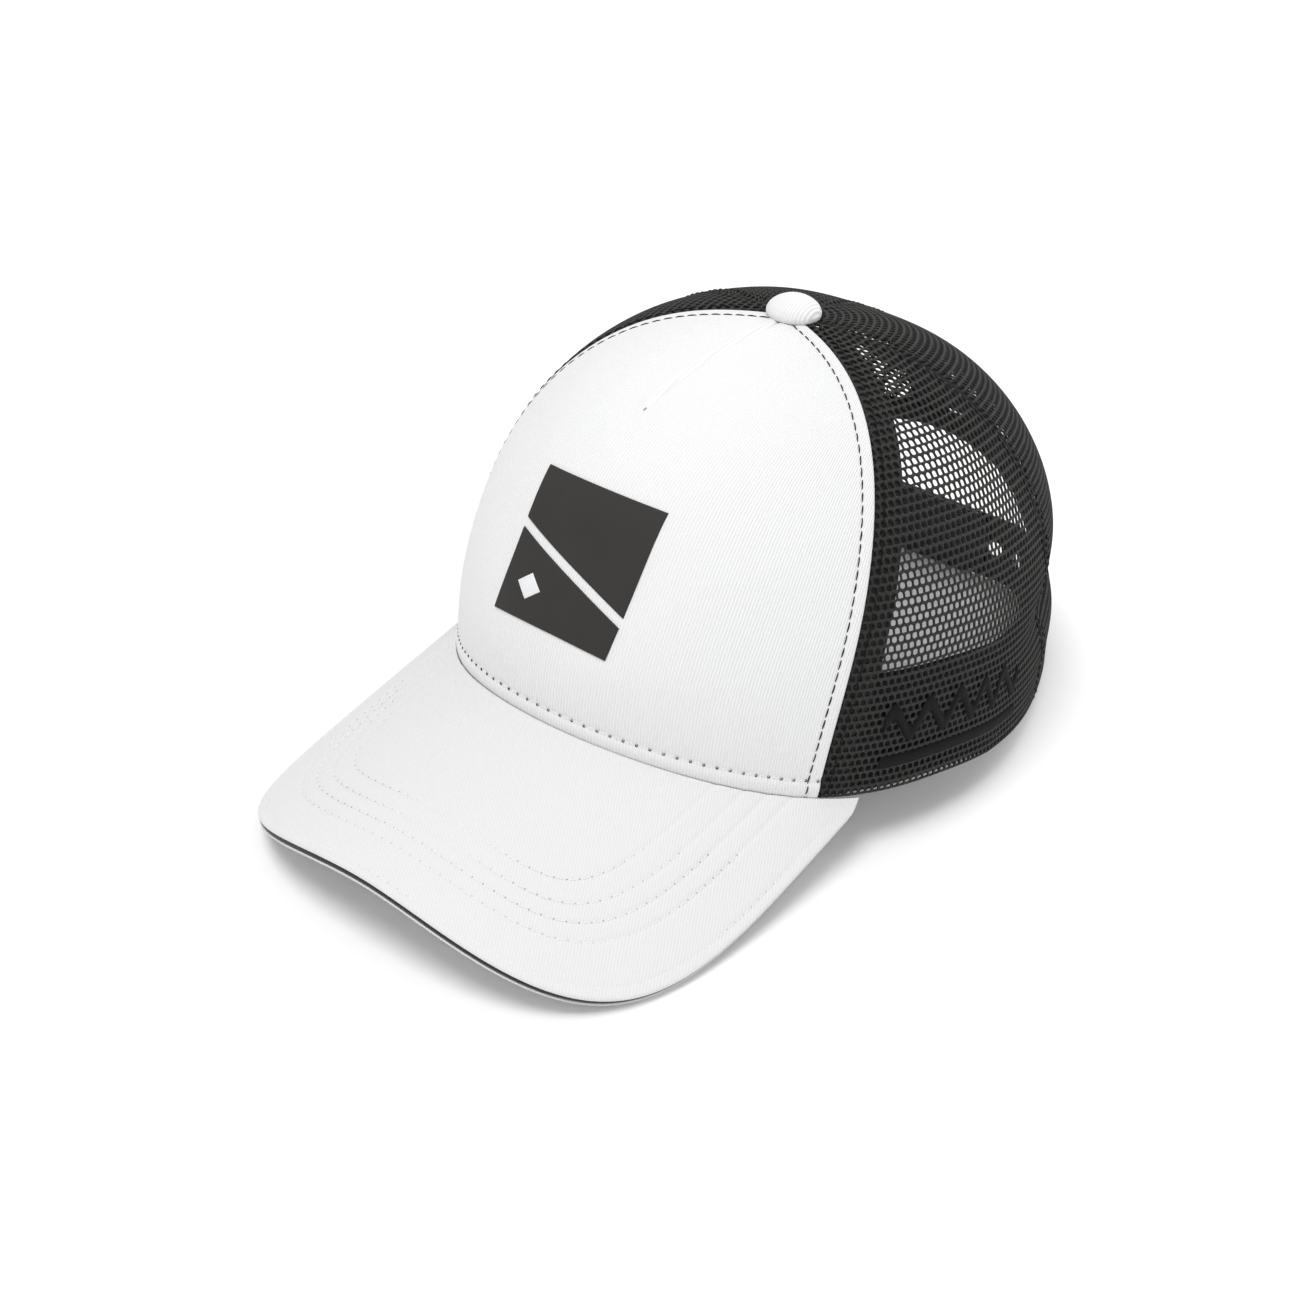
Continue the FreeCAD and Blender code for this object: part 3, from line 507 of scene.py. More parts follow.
# near black: painted shade of the needle holes at the brim joint
HOLE_SHADE = thread("painted_needle_hole_shade", (0.012, 0.012, 0.012), (0.03, 0.03, 0.03), 0.85, 0.1, 0.0)
LABEL = tape_cloth("label_cloth", (0.62, 0.62, 0.61), (0.80, 0.80, 0.79), 0.5, 0.7)
PATCH = moulded("patch_rubber", (0.018, 0.0165, 0.0155), (0.025, 0.023, 0.0215), 0.78, 1500.0, 0.00006)
MOTIF = moulded("motif_rubber", (0.66, 0.66, 0.67), (0.78, 0.78, 0.79), 0.6, 1500.0, 0.00005)
STRAP = moulded("strap_plastic", (0.011, 0.011, 0.012), (0.019, 0.019, 0.020), 0.42, 900.0, 0.00003)
BOARD = moulded("board_plastic", (0.55, 0.55, 0.54), (0.66, 0.66, 0.65), 0.6)
METAL = moulded("button_metal", (0.55, 0.54, 0.52), (0.68, 0.67, 0.65), 0.34, 1800.0, 0.00003, 1.0)
WASHER = moulded("washer_plastic", (0.016, 0.016, 0.016), (0.028, 0.028, 0.028), 0.5)


# ---- panels by arc length
class Panel:
    """Map from the flat cut of a crown panel to the crown.

    s runs along a rise from the panel's middle line, and l runs up the middle line.
    """

    def __init__(self, left, right, crowd=1.0):
        rows, cols = 130, 121
        self.rise = np.linspace(0, TOP, rows)
        k = 1 - (1 - np.linspace(0, 1, 241)) ** crowd
        a0, a1 = left(self.rise), right(self.rise)
        a = a0[:, None] + (a1 - a0)[:, None] * k
        points = crown(a, self.rise[:, None])
        steps = np.linalg.norm(np.diff(points, axis=1), axis=2)
        run = np.concatenate([np.zeros((rows, 1)), np.cumsum(steps, 1)], 1)
        self.half = run[:, -1] / 2
        self.share = np.linspace(-1, 1, cols)
        self.angle = np.array([np.interp((self.share + 1) * self.half[i], run[i], a[i]) for i in range(rows)])
        self.line = measure(crown(self.angle[:, cols // 2], self.rise))
        self.length = self.line[-1]
        self.area = float(np.sum((self.half[1:] + self.half[:-1]) * np.diff(self.line)))

    def rise_at(self, l):
        return np.interp(l, self.line, self.rise)

    def half_at(self, r):
        return np.interp(r, self.rise, self.half)

    def angle_at(self, share, r):
        x = np.clip(share + 1, 0, 2) / 2 * (len(self.share) - 1)
        y = np.clip(r / self.rise[-1], 0, 1) * (len(self.rise) - 1)
        i, j = np.minimum(y.astype(int), len(self.rise) - 2), np.minimum(x.astype(int), len(self.share) - 2)
        fy, fx = y - i, x - j
        t = self.angle
        return (t[i, j] * (1 - fx) * (1 - fy) + t[i, j + 1] * fx * (1 - fy)
                + t[i + 1, j] * (1 - fx) * fy + t[i + 1, j + 1] * fx * fy)


front_cut = Panel(lambda r: -seam(SEAM_FRONT, r), lambda r: seam(SEAM_FRONT, r))
side_cut = Panel(lambda r: seam(SEAM_FRONT, r), lambda r: seam(SEAM_SIDE, r))
rear_cut = Panel(lambda r: seam(SEAM_SIDE, r), lambda r: np.full(np.shape(r), PI), crowd=1.25)


# ---- front panel
# stitch rows from the brim and from the side seams, and where the centre dart starts
BRIM_ROW, SEAM_ROW, DART_START = 4.7, 3.8, 88.0


def front_relief(s, l, half):
    """Height of the outer face: rolled brim edge, seam folds, stitch grooves, dart and soft unevenness."""
    edge = half - np.abs(s)
    high = 0.42 * np.sin(PI * np.clip(l / BRIM_ROW, 0, 1)) * (l < BRIM_ROW)
    high += groove(l - BRIM_ROW, 0.22, 0.6)
    high += groove(edge - SEAM_ROW, 0.22, 0.5) + 0.14 * np.sin(PI * np.clip(edge / SEAM_ROW, 0, 1))
    high -= 0.55 * (1 - rounded(edge, 1.0))
    dart = s + 3.2 * np.clip((front_cut.length - l) / (front_cut.length - DART_START), 0, 1)
    fold = groove(dart, 0.50, 0.55) + 0.30 * bell(dart, -1.7, 1.3) + 0.10 * bell(dart, 1.6, 1.1)
    high += smooth(l, DART_START - 1.0, DART_START + 4.0) * fold
    high += (0.20 * np.sin(s / 17.0 + 0.8) * np.sin(l / 23.0 + 0.4)
             + 0.10 * np.sin(s / 6.4 - l / 11.0) * smooth(l, 4, 22) * smooth(-l, -70, -20))
    high += 0.05 * np.sin(s / 1.75) * bell(l, 5.0, 3.0)
    return high


def front_grid(cols, rows, low=0.0, high=None, inset=0.15):
    share = np.sin(np.linspace(-PI / 2, PI / 2, cols) * 0.86) / math.sin(PI / 2 * 0.86)
    t = np.linspace(0, 1, rows)
    l = low + ((high or front_cut.length) - low) * (t - 0.10 * (np.sin(2 * PI * t) / (2 * PI)))
    r = front_cut.rise_at(l)
    half = front_cut.half_at(r)
    s = share[None, :] * np.maximum(half - inset, 0.2)[:, None]
    l, r, half = (columns(x, cols) for x in (l, r, half))
    return s, l, r, half, front_cut.angle_at(s / half, r)


def thread_line(a, r, off, way=1):
    """Line of thread over the crown, with the way it faces."""
    return skin(a, r, off), way * crown_normal(a, r)


s, l, r, half, a = front_grid(240, 210)
outer = skin(a, r, front_relief(s, l, half))
inner = skin(a, r, np.minimum(front_relief(s, l, half) * 0.5, 0) - 0.6)
closed_sheet("front_panel_cloth", outer, inner, np.stack([s, l], -1) / 10, WHITE_RIB,
             slot="white_fabric", replaces=["front_panel"])

s, l, r, half, a = front_grid(90, 90, 2.0, front_cut.length * 0.985, 1.5)
closed_sheet("front_lining_cloth", skin(a, r, -0.70), skin(a, r, -1.30), np.stack([s, l], -1) / 10,
             WHITE_SCRIM, slot="buckram", replaces=["front_lining"])


def seam_side_line(side):
    """Stitch line that runs up the front panel beside its seam."""
    l = np.linspace(0.9, front_cut.length * 0.965, 400)
    r = front_cut.rise_at(l)
    half = front_cut.half_at(r)
    s = side * (half - SEAM_ROW)
    return thread_line(front_cut.angle_at(s / half, r), r, front_relief(s, l, half))


stitches("front_seam_stitches", [seam_side_line(side) for side in (-1, 1)], BLACK_THREAD,
         pitch=3.2, gap=0.05, radius=0.165, lift=0.19, skew=0.26)

r = np.full(500, float(front_cut.rise_at(BRIM_ROW)))
half = front_cut.half_at(front_cut.rise_at(BRIM_ROW))
s = np.linspace(-1, 1, 500) * (half - 1.2)
line = thread_line(front_cut.angle_at(s / half, r), r, front_relief(s, np.full(500, BRIM_ROW), half))
_, holes = stitches("brim_joint_stitches", [line], WHITE_THREAD, pitch=3.5, gap=0.8, radius=0.16, lift=0.10)
# dark dots of painted shade at the needle holes of the brim joint
puncture_shade_dots("brim_joint_puncture_shade", holes, HOLE_SHADE, 0.40, 0.30)

# end of the dart: a small bar tack
r = front_cut.rise_at(np.array([87.2, 88.0, 88.8]))
a = front_cut.angle_at(np.full(3, -3.2) / front_cut.half_at(r), r)
stitches("dart_tack", [thread_line(a, r, -0.05)], GREY_THREAD_AND_PIT_SHADE, pitch=1.6, gap=0.1, radius=0.22, lift=0.03)


# ---- net panels with real holes
PITCH, ROW = 2.2, 2.35
ARCH_HALF, ARCH_TOP, ARCH_FOOT = 49.6, 52.7, 0.5 + SHIFT[2]
CELL_S = np.array([0.5, 0.5, 0.25, 0, -0.25, -0.5, -0.5, -0.5, -0.25, 0, 0.25, 0.5]) * PITCH
CELL_L = np.array([0, 0.5, 0.5, 0.5, 0.5, 0.5, 0, -0.5, -0.5, -0.5, -0.5, -0.5]) * ROW
turn = np.arange(12) * PI / 6
ROUND_HOLE = np.stack([0.88 * np.cos(turn), 0.86 * np.sin(turn)], -1)
BELL_HOLE = np.array([[0.82, -0.12], [0.72, 0.44], [0.34, 0.66], [0, 0.98], [-0.34, 0.66],
                      [-0.72, 0.44], [-0.82, -0.12], [-0.80, -0.76], [-0.40, -0.86], [0, -0.88],
                      [0.40, -0.86], [0.80, -0.76]])
# radius of the fold at the rim, rows below it, thickness, and the gap to the seam line
FOLD, LOW_ROWS, NET_THICK, NET_GAP = 0.55, 3, 0.62, 0.15


def arch_level(x, z):
    """Below zero inside the rear opening."""
    up = np.maximum(z - ARCH_FOOT, 0) / ARCH_TOP
    return (x / ARCH_HALF) ** 2 + up ** (2 / 0.9) - 1


def hem(l):
    """Height and depth of the cloth near the rim, where it folds to the inside."""
    t = np.clip(-l / FOLD, 0, PI)
    folded = np.where(-l < PI * FOLD, FOLD - FOLD * np.sin(t), FOLD - l - PI * FOLD)
    return np.where(l >= 0, FOLD + l, folded), np.where(l >= 0, 0, -FOLD * (1 - np.cos(t)))


def net_relief(s, half, l, soft_left, soft_right):
    """Height of the net: it turns in at its seams and stands a little proud beside them."""
    to_left, to_right = half + s, half - s
    high = -0.45 * (np.exp(-to_left / 0.5) + np.exp(-to_right / 0.5))
    high += soft_left * bell(to_left, 2.0, 1.1) + soft_right * bell(to_right, 2.0, 1.1)
    return high + 0.12 * np.sin(s / 13.0 + 1.0) * np.sin(l / 19.0)


def net_panel(cut, arch, soft):
    """Net of a panel with its holes, cut out over the rear opening where arch is set."""
    count = int(cut.length / ROW) + 1
    wide = int(cut.half.max() / PITCH) + 2
    j, i = np.meshgrid(np.arange(-LOW_ROWS, count), np.arange(-wide, wide + 1), indexing="ij")
    i, j = i.ravel(), j.ravel()
    middle_s, middle_l = (i + 0.5 * (j % 2)) * PITCH, (j + 0.5) * ROW
    hole = np.where((j % 2 == 0)[:, None, None], BELL_HOLE[None], ROUND_HOLE[None])

    def place(ds, dl):
        """Flat place of points round each cell, with their angle and rise on the crown."""
        s, l = middle_s[:, None] + ds, middle_l[:, None] + dl
        height, depth = hem(l)
        r = cut.rise_at(np.minimum(height, cut.length))
        half = np.maximum(cut.half_at(r) - NET_GAP, 0.05)
        s_in = np.clip(s, -half, half)
        return s, s_in, l, half, cut.angle_at(s_in / (half + NET_GAP), r), r, depth

    s, _, _, half, a, r, _ = place(CELL_S, CELL_L)
    keep = (np.abs(s) < half + 0.02).any(1)
    if arch:
        p = crown(a, r)
        keep &= (arch_level(p[..., 0], p[..., 2]) > 0).any(1)
    middle_s, middle_l, hole = middle_s[keep], middle_l[keep], hole[keep]
    cells = len(middle_s)

    def shape(ds, dl, height):
        _, s_in, l, half, a, r, depth = place(ds, dl)
        if arch:
            p = crown(a, r)
            inside = arch_level(p[..., 0], p[..., 2]) < 0
            x, z = p[inside, 0], p[inside, 2]
            scale = np.ones(len(x))
            for _ in range(8):
                scale *= (1 + arch_level(x * scale, ARCH_FOOT + (z - ARCH_FOOT) * scale)).clip(1e-3) ** -0.48
            if len(x):
                a[inside], r[inside] = on_back(x * scale, ARCH_FOOT + (z - ARCH_FOOT) * scale)
        total = net_relief(s_in, half, l, *soft) * (depth == 0) + depth + height
        return skin(a, r, total), np.stack([s_in, l], -1) / 10

    top_edge, uv_edge = shape(CELL_S, CELL_L, 0.0)
    rings = []
    for share, height in ((0.62, -0.03), (1.0, -NET_THICK * 0.5), (0.62, -NET_THICK + 0.03)):
        ds, dl = (hole[:, :, k] * share + edge * (1 - share) for k, edge in enumerate((CELL_S, CELL_L)))
        rings.append(shape(ds, dl, height))
    low_edge, _ = shape(CELL_S, CELL_L, -NET_THICK)

    key_s = np.rint((middle_s[:, None] + CELL_S) / (PITCH / 4)).astype(np.int64)
    key_l = np.rint((middle_l[:, None] + CELL_L) / (ROW / 2)).astype(np.int64)
    key = ((key_l + 4000) * 100000 + key_s + 50000).ravel()
    _, first, back = np.unique(key, return_index=True, return_inverse=True)
    shared = len(first)
    edges = [edge.reshape(-1, 3)[first] for edge in (top_edge, low_edge)]
    verts = np.concatenate(edges + [p.reshape(-1, 3) for p, _ in rings])
    uv = np.concatenate([uv_edge.reshape(-1, 2)[first]] * 2 + [q.reshape(-1, 2) for _, q in rings])
    top_index = back.reshape(cells, 12)
    low_index = top_index + shared
    ring_index = [2 * shared + k * cells * 12 + np.arange(cells * 12).reshape(cells, 12) for k in range(3)]
    order = [top_index, *ring_index, low_index]
    faces = []
    for one, two in zip(order, order[1:]):
        faces.append(np.stack([one, np.roll(one, -1, 1), np.roll(two, -1, 1), two], -1).reshape(-1, 4))
    pair = np.stack([top_index, np.roll(top_index, -1, 1)], -1).reshape(-1, 2)
    _, which, uses = np.unique(np.sort(pair, 1), axis=0, return_index=True, return_counts=True)
    start, end = pair[which[uses == 1]].T
    faces.append(np.stack([end, start, start + shared, end + shared], -1))
    return verts, faces, uv


def both_sides(name, verts, faces, uv):
    """Left net and its mirror image."""
    mirrored, turned = verts * np.array([-1.0, 1.0, 1.0]), [f[:, ::-1] for f in faces]
    for word, points, quads in (("left", verts, faces), ("right", mirrored, turned)):
        make(f"{name}_cloth_{word}", points, quads, BLACK_KNIT, uv,
             slot="black_mesh", replaces=[f"{name}_{word}"])


both_sides("side_mesh", *net_panel(side_cut, False, (0.0, 0.22)))
both_sides("rear_mesh", *net_panel(rear_cut, True, (0.22, 0.22)))


def strip(name, angles, r, widths, outer, inner, material, **kw):
    """Strip of cloth whose grid of angles and rises is given."""
    cols = len(widths)
    edge = 1 - np.abs(np.linspace(-1, 1, cols)[None, :]) ** 14
    middle = (outer + inner) / 2
    p_out, p_in = (skin(angles, r, middle + (face - middle) * edge) for face in (outer, inner))
    run = measure(p_out[:, cols // 2])
    closed_sheet(name, p_out, p_in, np.stack(np.meshgrid(widths, run), -1) / 10, material, **kw)


def seam_strip(name, line, left, right, low, high, outer, inner, material, side, narrow=0.0, **kw):
    """Strip along a seam, between two distances from it; narrow is how much it tapers to the top."""
    r = np.linspace(low, high, 110)
    widths = np.linspace(left, right, 17)
    taper = 1 - narrow * smooth(r, 0.76, high) ** 0.8
    angles = side * np.stack([beside(seam(line, r), r, w * taper) for w in widths], 1)
    if side < 0:
        angles, widths = angles[:, ::-1], widths[::-1]
    strip(name, angles, columns(r, 17), widths, outer, inner, material, **kw)


def seam_line(line, w, low, top, count, side, off, way):
    """Thread line at a distance from a seam."""
    r = np.linspace(low, top, count)
    return thread_line(side * beside(seam(line, r), r, w), r, off, way)


def above_opening(z, top, count):
    """Rises up the middle of the back, from a height."""
    return np.linspace(float(rise_of_z(np.array(PI), np.array(z))), top, count)


TAPE_OUT, TAPE_IN, REAR_TAPE_OUT, REAR_TAPE_IN = -1.42, -1.92, -0.90, -1.40
tape_lines = []
for side, word in ((1, "left"), (-1, "right")):
    seam_strip("front_seam_tape_cloth_" + word, SEAM_FRONT, -5.5, 9.0, 0.012, 0.94, TAPE_OUT, TAPE_IN,
               BLACK_TAPE, side, slot="black_tape", replaces=["front_seam_tape_" + word])
    seam_strip("side_seam_tape_cloth_" + word, SEAM_SIDE, -6.5, 6.5, 0.012, 0.895, TAPE_OUT, TAPE_IN,
               BLACK_TAPE, side, narrow=0.85, slot="black_tape", replaces=["side_seam_tape_" + word])
    seam_strip("front_seam_allowance_" + word, SEAM_FRONT, 0.4, 9.5, 0.004, 0.93, -0.82, -1.34,
               BLACK_KNIT, side)
    for line, widths, top in ((SEAM_FRONT, (-4.2, 7.6), 0.93), (SEAM_SIDE, (-5.2, 5.2), 0.76)):
        tape_lines += [seam_line(line, w, 0.02, top, 300, side, TAPE_IN, -1) for w in widths]
r = above_opening(62.0, 0.94, 90)
x = np.linspace(6.5, -6.5, 15)
strip("rear_seam_tape_cloth", angle_of_x(x[None, :], r[:, None], True), columns(r, 15), x,
      REAR_TAPE_OUT, REAR_TAPE_IN, BLACK_TAPE, slot="black_tape", replaces=["rear_seam_tape"])
tape_lines += [thread_line(angle_of_x(x, r, True), r, REAR_TAPE_IN, -1) for x in (-5.2, 5.2)]
stitches("tape_stitches", tape_lines, BLACK_THREAD, pitch=3.0, gap=0.5, radius=0.15, lift=0.06)

# stitches seen outside, beside the net seams
net_lines = [seam_line(line, w, 0.01, 0.95, 320, side, 0.05, 1)
             for side in (1, -1) for line, w in ((SEAM_FRONT, 2.6), (SEAM_SIDE, -2.6), (SEAM_SIDE, 2.6))]
r = above_opening(61.0, 0.95, 200)
net_lines += [thread_line(angle_of_x(x, r, True), r, 0.05) for x in (-2.6, 2.6)]
stitches("net_seam_stitches", net_lines, BLACK_THREAD, pitch=3.0, gap=0.4, radius=0.18, lift=0.12)


# ---- binding round the rear opening
def arch_point(t, grow):
    return (ARCH_HALF + grow) * np.cos(t), ARCH_FOOT + (ARCH_TOP + grow) * np.sin(t) ** 0.9


t = np.linspace(0.001, PI - 0.001, 400)
x, z = arch_point(t, 0)
a = angle_of_x(x, np.zeros(400), True)
above = z > rim_height(a) + SHIFT[2] + 0.3
t = np.linspace(t[above][0], t[above][-1], 190)
# distance out from the opening and height over the crown, once round the folded binding
section = [(7.6, 0.10), (7.6, 0.42), (7.0, 0.55), (5.2, 0.56), (3.0, 0.55), (1.2, 0.55),
           (0.2, 0.42), (-0.45, 0.05), (-0.65, -0.45), (-0.45, -0.95), (0.2, -1.32), (1.2, -1.42),
           (3.0, -1.42), (5.2, -1.42), (7.4, -1.42), (8.0, -1.32), (8.0, -0.98), (7.4, -0.88),
           (5.2, -0.88), (3.0, -0.88), (1.2, -0.86), (0.35, -0.70), (0.15, -0.45), (0.35, -0.10),
           (1.2, 0.06), (3.0, 0.07), (5.2, 0.07), (7.0, 0.07)]
where = {g: on_back(*arch_point(t, g)) for g in sorted({g for g, _ in section})}
loop = np.stack([skin(*where[g], off + 0.04 * np.sin(t * 55 + g)) for g, off in section], 1)
edge_run = measure(loop[:, 4])
across = measure(np.array([[g, o, 0] for g, o in section]))
count = len(section)
caps = []
for start, flip in ((0, False), ((len(t) - 1) * count, True)):
    k = np.arange(13)
    q = start + np.stack([k, k + 1, (count - 2 - k) % count, (count - 1 - k) % count], -1)
    caps.append(q[:, ::-1] if flip else q)
make("arch_binding_cloth", loop, [grid_faces(len(t), count, wrap=True), *caps], BLACK_TAPE,
     np.stack(np.meshgrid(across, edge_run), -1) / 10, slot="black_tape", replaces=["arch_binding"])
lines = [thread_line(*on_back(*arch_point(t, g)), off, way)
         for g, off, way in ((6.3, 0.56, 1), (6.6, -1.42, -1), (1.6, 0.55, 1))]
stitches("binding_stitches", lines, BLACK_THREAD, pitch=2.8, gap=0.45, radius=0.17, lift=0.08)


# ---- sweatband and labels
BAND_COLS, BAND_ROWS, BAND_HIGH, TOP_ROW, LOW_ROW = 460, 44, 35.0, 3.2, 4.5
end_a = float(angle_of_x(63.5, np.array(0.0), True))
aa = np.linspace(-end_a, end_a, BAND_COLS)
top_r = rise_of_z(aa, rim_height(aa) + SHIFT[2] + BAND_HIGH)
r = 0.010 + (top_r - 0.010)[None, :] * np.linspace(0, 1, BAND_ROWS)[:, None]
base = skin(aa[None, :], r, -2.0)
steps = np.linalg.norm(np.diff(base, axis=0), axis=2)
up = np.concatenate([np.zeros((1, BAND_COLS)), np.cumsum(steps, 0)], 0)
run = np.repeat(measure(base[20])[None, :], BAND_ROWS, 0)
tall = up[-1][None, :]
puff = 0.28 * np.sin(PI * np.clip((up - LOW_ROW) / (tall - 7.5), 0, 1)) ** 0.7
pucker = 0.09 * np.sin(run / 0.9) * (bell(up - tall, -TOP_ROW, 1.8) + bell(up, LOW_ROW, 1.8))
dips = groove(up - tall + TOP_ROW, 0.28, 0.6) + groove(up - LOW_ROW, 0.28, 0.6)
roll = 0.6 * (1 - rounded(tall - up, 0.9))
band_out = skin(aa[None, :], r, -1.98 - roll * 0.9)
band_in = skin(aa[None, :], r, -3.30 - puff - pucker - dips + roll * 0.9)
closed_sheet("sweatband_cloth", band_out, band_in, np.stack([run, up], -1) / 10, BLACK_TWILL,
             slot="black_band", replaces=["sweatband"])
lines = []
for heights in (tall[0] - TOP_ROW, np.full(BAND_COLS, LOW_ROW)):
    row_r = np.array([np.interp(heights[i], up[:, i], r[:, i]) for i in range(BAND_COLS)])
    lines.append(thread_line(aa, row_r, -3.22, -1))
stitches("sweatband_stitches", lines, BLACK_THREAD, pitch=3.0, gap=0.5, radius=0.18, lift=0.08)


def label(replaces, a_grid, r_grid, outer, inner):
    """Label with a folded border and a row of stitches round it."""
    name, (rows, cols) = replaces + "_cloth", a_grid.shape
    from_middle = [np.abs(np.linspace(-1, 1, count)) for count in (cols, rows)]
    border = np.maximum(from_middle[0][None, :], from_middle[1][:, None])
    p_in = skin(a_grid, r_grid, inner - 0.10 * smooth(border, 0.82, 0.90))
    step_u, step_v = measure(p_in[rows // 2]), measure(p_in[:, cols // 2])
    uv = np.stack(np.meshgrid(step_u, step_v), -1) / 10
    closed_sheet(name, skin(a_grid, r_grid, outer), p_in, uv, LABEL, slot="label_cloth", replaces=[replaces])
    k = 2
    up, over = range(k, rows - k), range(k, cols - k)
    edge = [(i, k) for i in up] + [(rows - 1 - k, j) for j in over]
    edge += [(i, cols - 1 - k) for i in up[::-1]] + [(k, j) for j in over[::-1]]
    points = np.array([p_in[e] for e in edge])
    normals = np.array([-crown_normal(a_grid[e], r_grid[e]) for e in edge])
    stitches(name + "_stitches", [(points, normals)], WHITE_THREAD,
             pitch=2.0, gap=0.5, radius=0.12, lift=0.05)


x = np.linspace(21, -21, 61)
r = np.linspace(0.60, 0.76, 41)
label("main_label", angle_of_x(x[None, :], r[:, None], True), columns(r, 61), -1.95, -2.30)
a_grid, r_grid = np.meshgrid(np.radians(np.linspace(96, 108, 41)), np.linspace(0.05, 0.20, 51))
label("care_label", a_grid, r_grid, -3.72, -3.98)


# ---- visor
corner_x, corner_y = (float(k) for k in plan(CORNER))
ROOT = 5.0


def outline(u):
    turn = u * PI / 2
    s = np.sin(turn)
    x = (corner_x + ROOT * 0.35) * np.sign(s) * np.abs(s) ** (2 / 2.74)
    reach = FRONT + 62.5 + corner_y - ROOT
    return np.stack([x, corner_y - ROOT - reach * np.maximum(np.cos(turn), 0) ** (2 / 4.58)], -1)


OUTLINE = outline(-np.cos(np.linspace(0, PI, 1601)))
OUT_RUN = measure(OUTLINE)
TANGENT = unit(np.gradient(OUTLINE, axis=0))
INWARD = np.stack([-TANGENT[:, 1], TANGENT[:, 0]], -1)


def visor_point(x, y, off):
    """Point over the visor's plan, moved along the normal of its top surface."""
    z = visor_height(x, y) + 0.8
    n = unit(np.stack([x / 76.5, np.full(np.shape(x), -0.225), np.ones(np.shape(x))], -1))
    return np.stack([x, y, z], -1) + SHIFT + n * np.asarray(off, float)[..., None], n


def visor_plan(share):
    """Edge of the visor at shares of its length, and the way in from there.

    The way in is given by its direction to the crown, the distance, and how squarely it leaves the edge.
    """
    run = share * OUT_RUN[-1]
    edge, inward = sample(OUTLINE, OUT_RUN, run), sample(INWARD, OUT_RUN, run)
    angle = (2 * share - 1) * CORNER
    root = crown(angle, np.zeros(len(angle)))[:, :2] - SHIFT[:2]
    root = root + np.stack([np.sin(angle), -np.cos(angle)], -1) * 0.45
    way = root - edge
    far = np.linalg.norm(way, axis=1)
    way /= far[:, None]
    return edge, -inward, way, far, np.maximum((way * inward).sum(1), 0.25)


def distance_to_edge(x, y):
    flat = np.stack([x.ravel(), y.ravel()], -1)
    line = OUTLINE[::2]
    best = np.full(len(flat), 1e9)
    for k in range(0, len(flat), 4000):
        part = flat[k:k + 4000]
        d = ((part[:, None] - line[None]) ** 2).sum(-1)
        best[k:k + 4000] = np.sqrt(d.min(1))
    return best.reshape(x.shape)


VISOR_ROWS = (2.4, 11.5, 15.6, 19.8, 25.2)
COLS, EDGE_ROWS, BODY_ROWS = 420, 9, 150
share = np.linspace(0, 1, COLS)
edge, outward, way, far, slant = visor_plan(share)
# radius of the rolled edge, thickness of the cloth, and level of the lower face
ROLL, COVER_THICK, UNDER = 0.85, 0.65, -3.42


def visor_cover(side):
    """Cloth cover with a rolled edge; the good face of the top one looks up."""
    top = side == "top"
    phi = np.linspace(0, PI / 2, EDGE_ROWS)
    grow = 0.0 if top else 0.5
    rim, length = edge + outward * grow, far + grow * slant
    base = np.linspace(0, 1, BODY_ROWS + 1)[1:] ** 1.15
    start = np.minimum(ROLL / slant, 0.55 * length * 1.02)
    rest = start[None, :] + (length - start)[None, :] * base[:, None]
    faces = []
    for radius in (ROLL, ROLL - COVER_THICK):
        d = (ROLL - radius * np.cos(phi))[:, None]
        step = np.minimum(d / slant[None, :], 0.55 * length[None, :] * (d / ROLL + 0.02))
        reach = np.concatenate([step, rest], 0)
        drop = np.concatenate([-ROLL + radius * np.sin(phi), np.full(BODY_ROWS, radius - ROLL)])
        faces.append([rim[None, :, k] + way[None, :, k] * reach for k in (0, 1)] + [columns(drop, COLS)])
    (x, y, off), (x_in, y_in, off_in) = faces
    near = distance_to_edge(x, y)
    body = columns(np.arange(EDGE_ROWS + BODY_ROWS) >= EDGE_ROWS, COLS)
    marks = sum(groove(near - k, 0.24 if k > 3 else 0.14, 0.55) for k in VISOR_ROWS)
    marks = marks + 0.04 * smooth(near, 3.2, 5.4) - 0.04 + 0.07 * np.sin(x / 9.0 + 1) * np.sin(y / 12.0)
    fine = 0.03 * np.sin(near / 0.9) * bell(near, 18, 9)
    marks = (marks + fine) * body * smooth(near, 1.0, 2.2)
    marks_in = np.minimum(marks, 0) * 0.4
    if top:
        first, second = visor_point(x, y, off + marks)[0], visor_point(x_in, y_in, off_in + marks_in)[0]
    else:
        first = visor_point(x_in, y_in, UNDER - off_in - marks_in)[0]
        second = visor_point(x, y, UNDER - off - marks)[0]
    closed_sheet(f"visor_{side}_cloth", first, second, np.stack([x, y], -1) / 10, WHITE_TWILL,
                 slot="white_fabric", replaces=[f"visor_{side}_cover"])


visor_cover("top")
visor_cover("under")

# distance out from the edge and level, once round the insert; None is its inner edge
CORD = ((None, -0.86), (-0.9, -0.86), (-0.15, -0.88), (0.05, -1.05), (0.10, -1.60), (0.10, -2.20),
        (-0.05, -2.50), (-0.9, -2.56), (None, -2.56))
inner = edge + way * np.minimum(2.6 / slant, far * 0.6)[:, None]
rings = []
for out, off in CORD:
    x, y = (inner if out is None else edge + outward * out).T
    rings.append(visor_point(x, y, np.full(COLS, off))[0])
uv = np.stack(np.meshgrid(np.arange(9) * 0.4, share * OUT_RUN[-1]), -1) / 10
make("visor_edge_cord", np.stack(rings, 1), [grid_faces(COLS, 9, wrap=True, flip=True)], BLACK_TAPE, uv,
     slot="black_insert", replaces=["visor_edge_insert"])


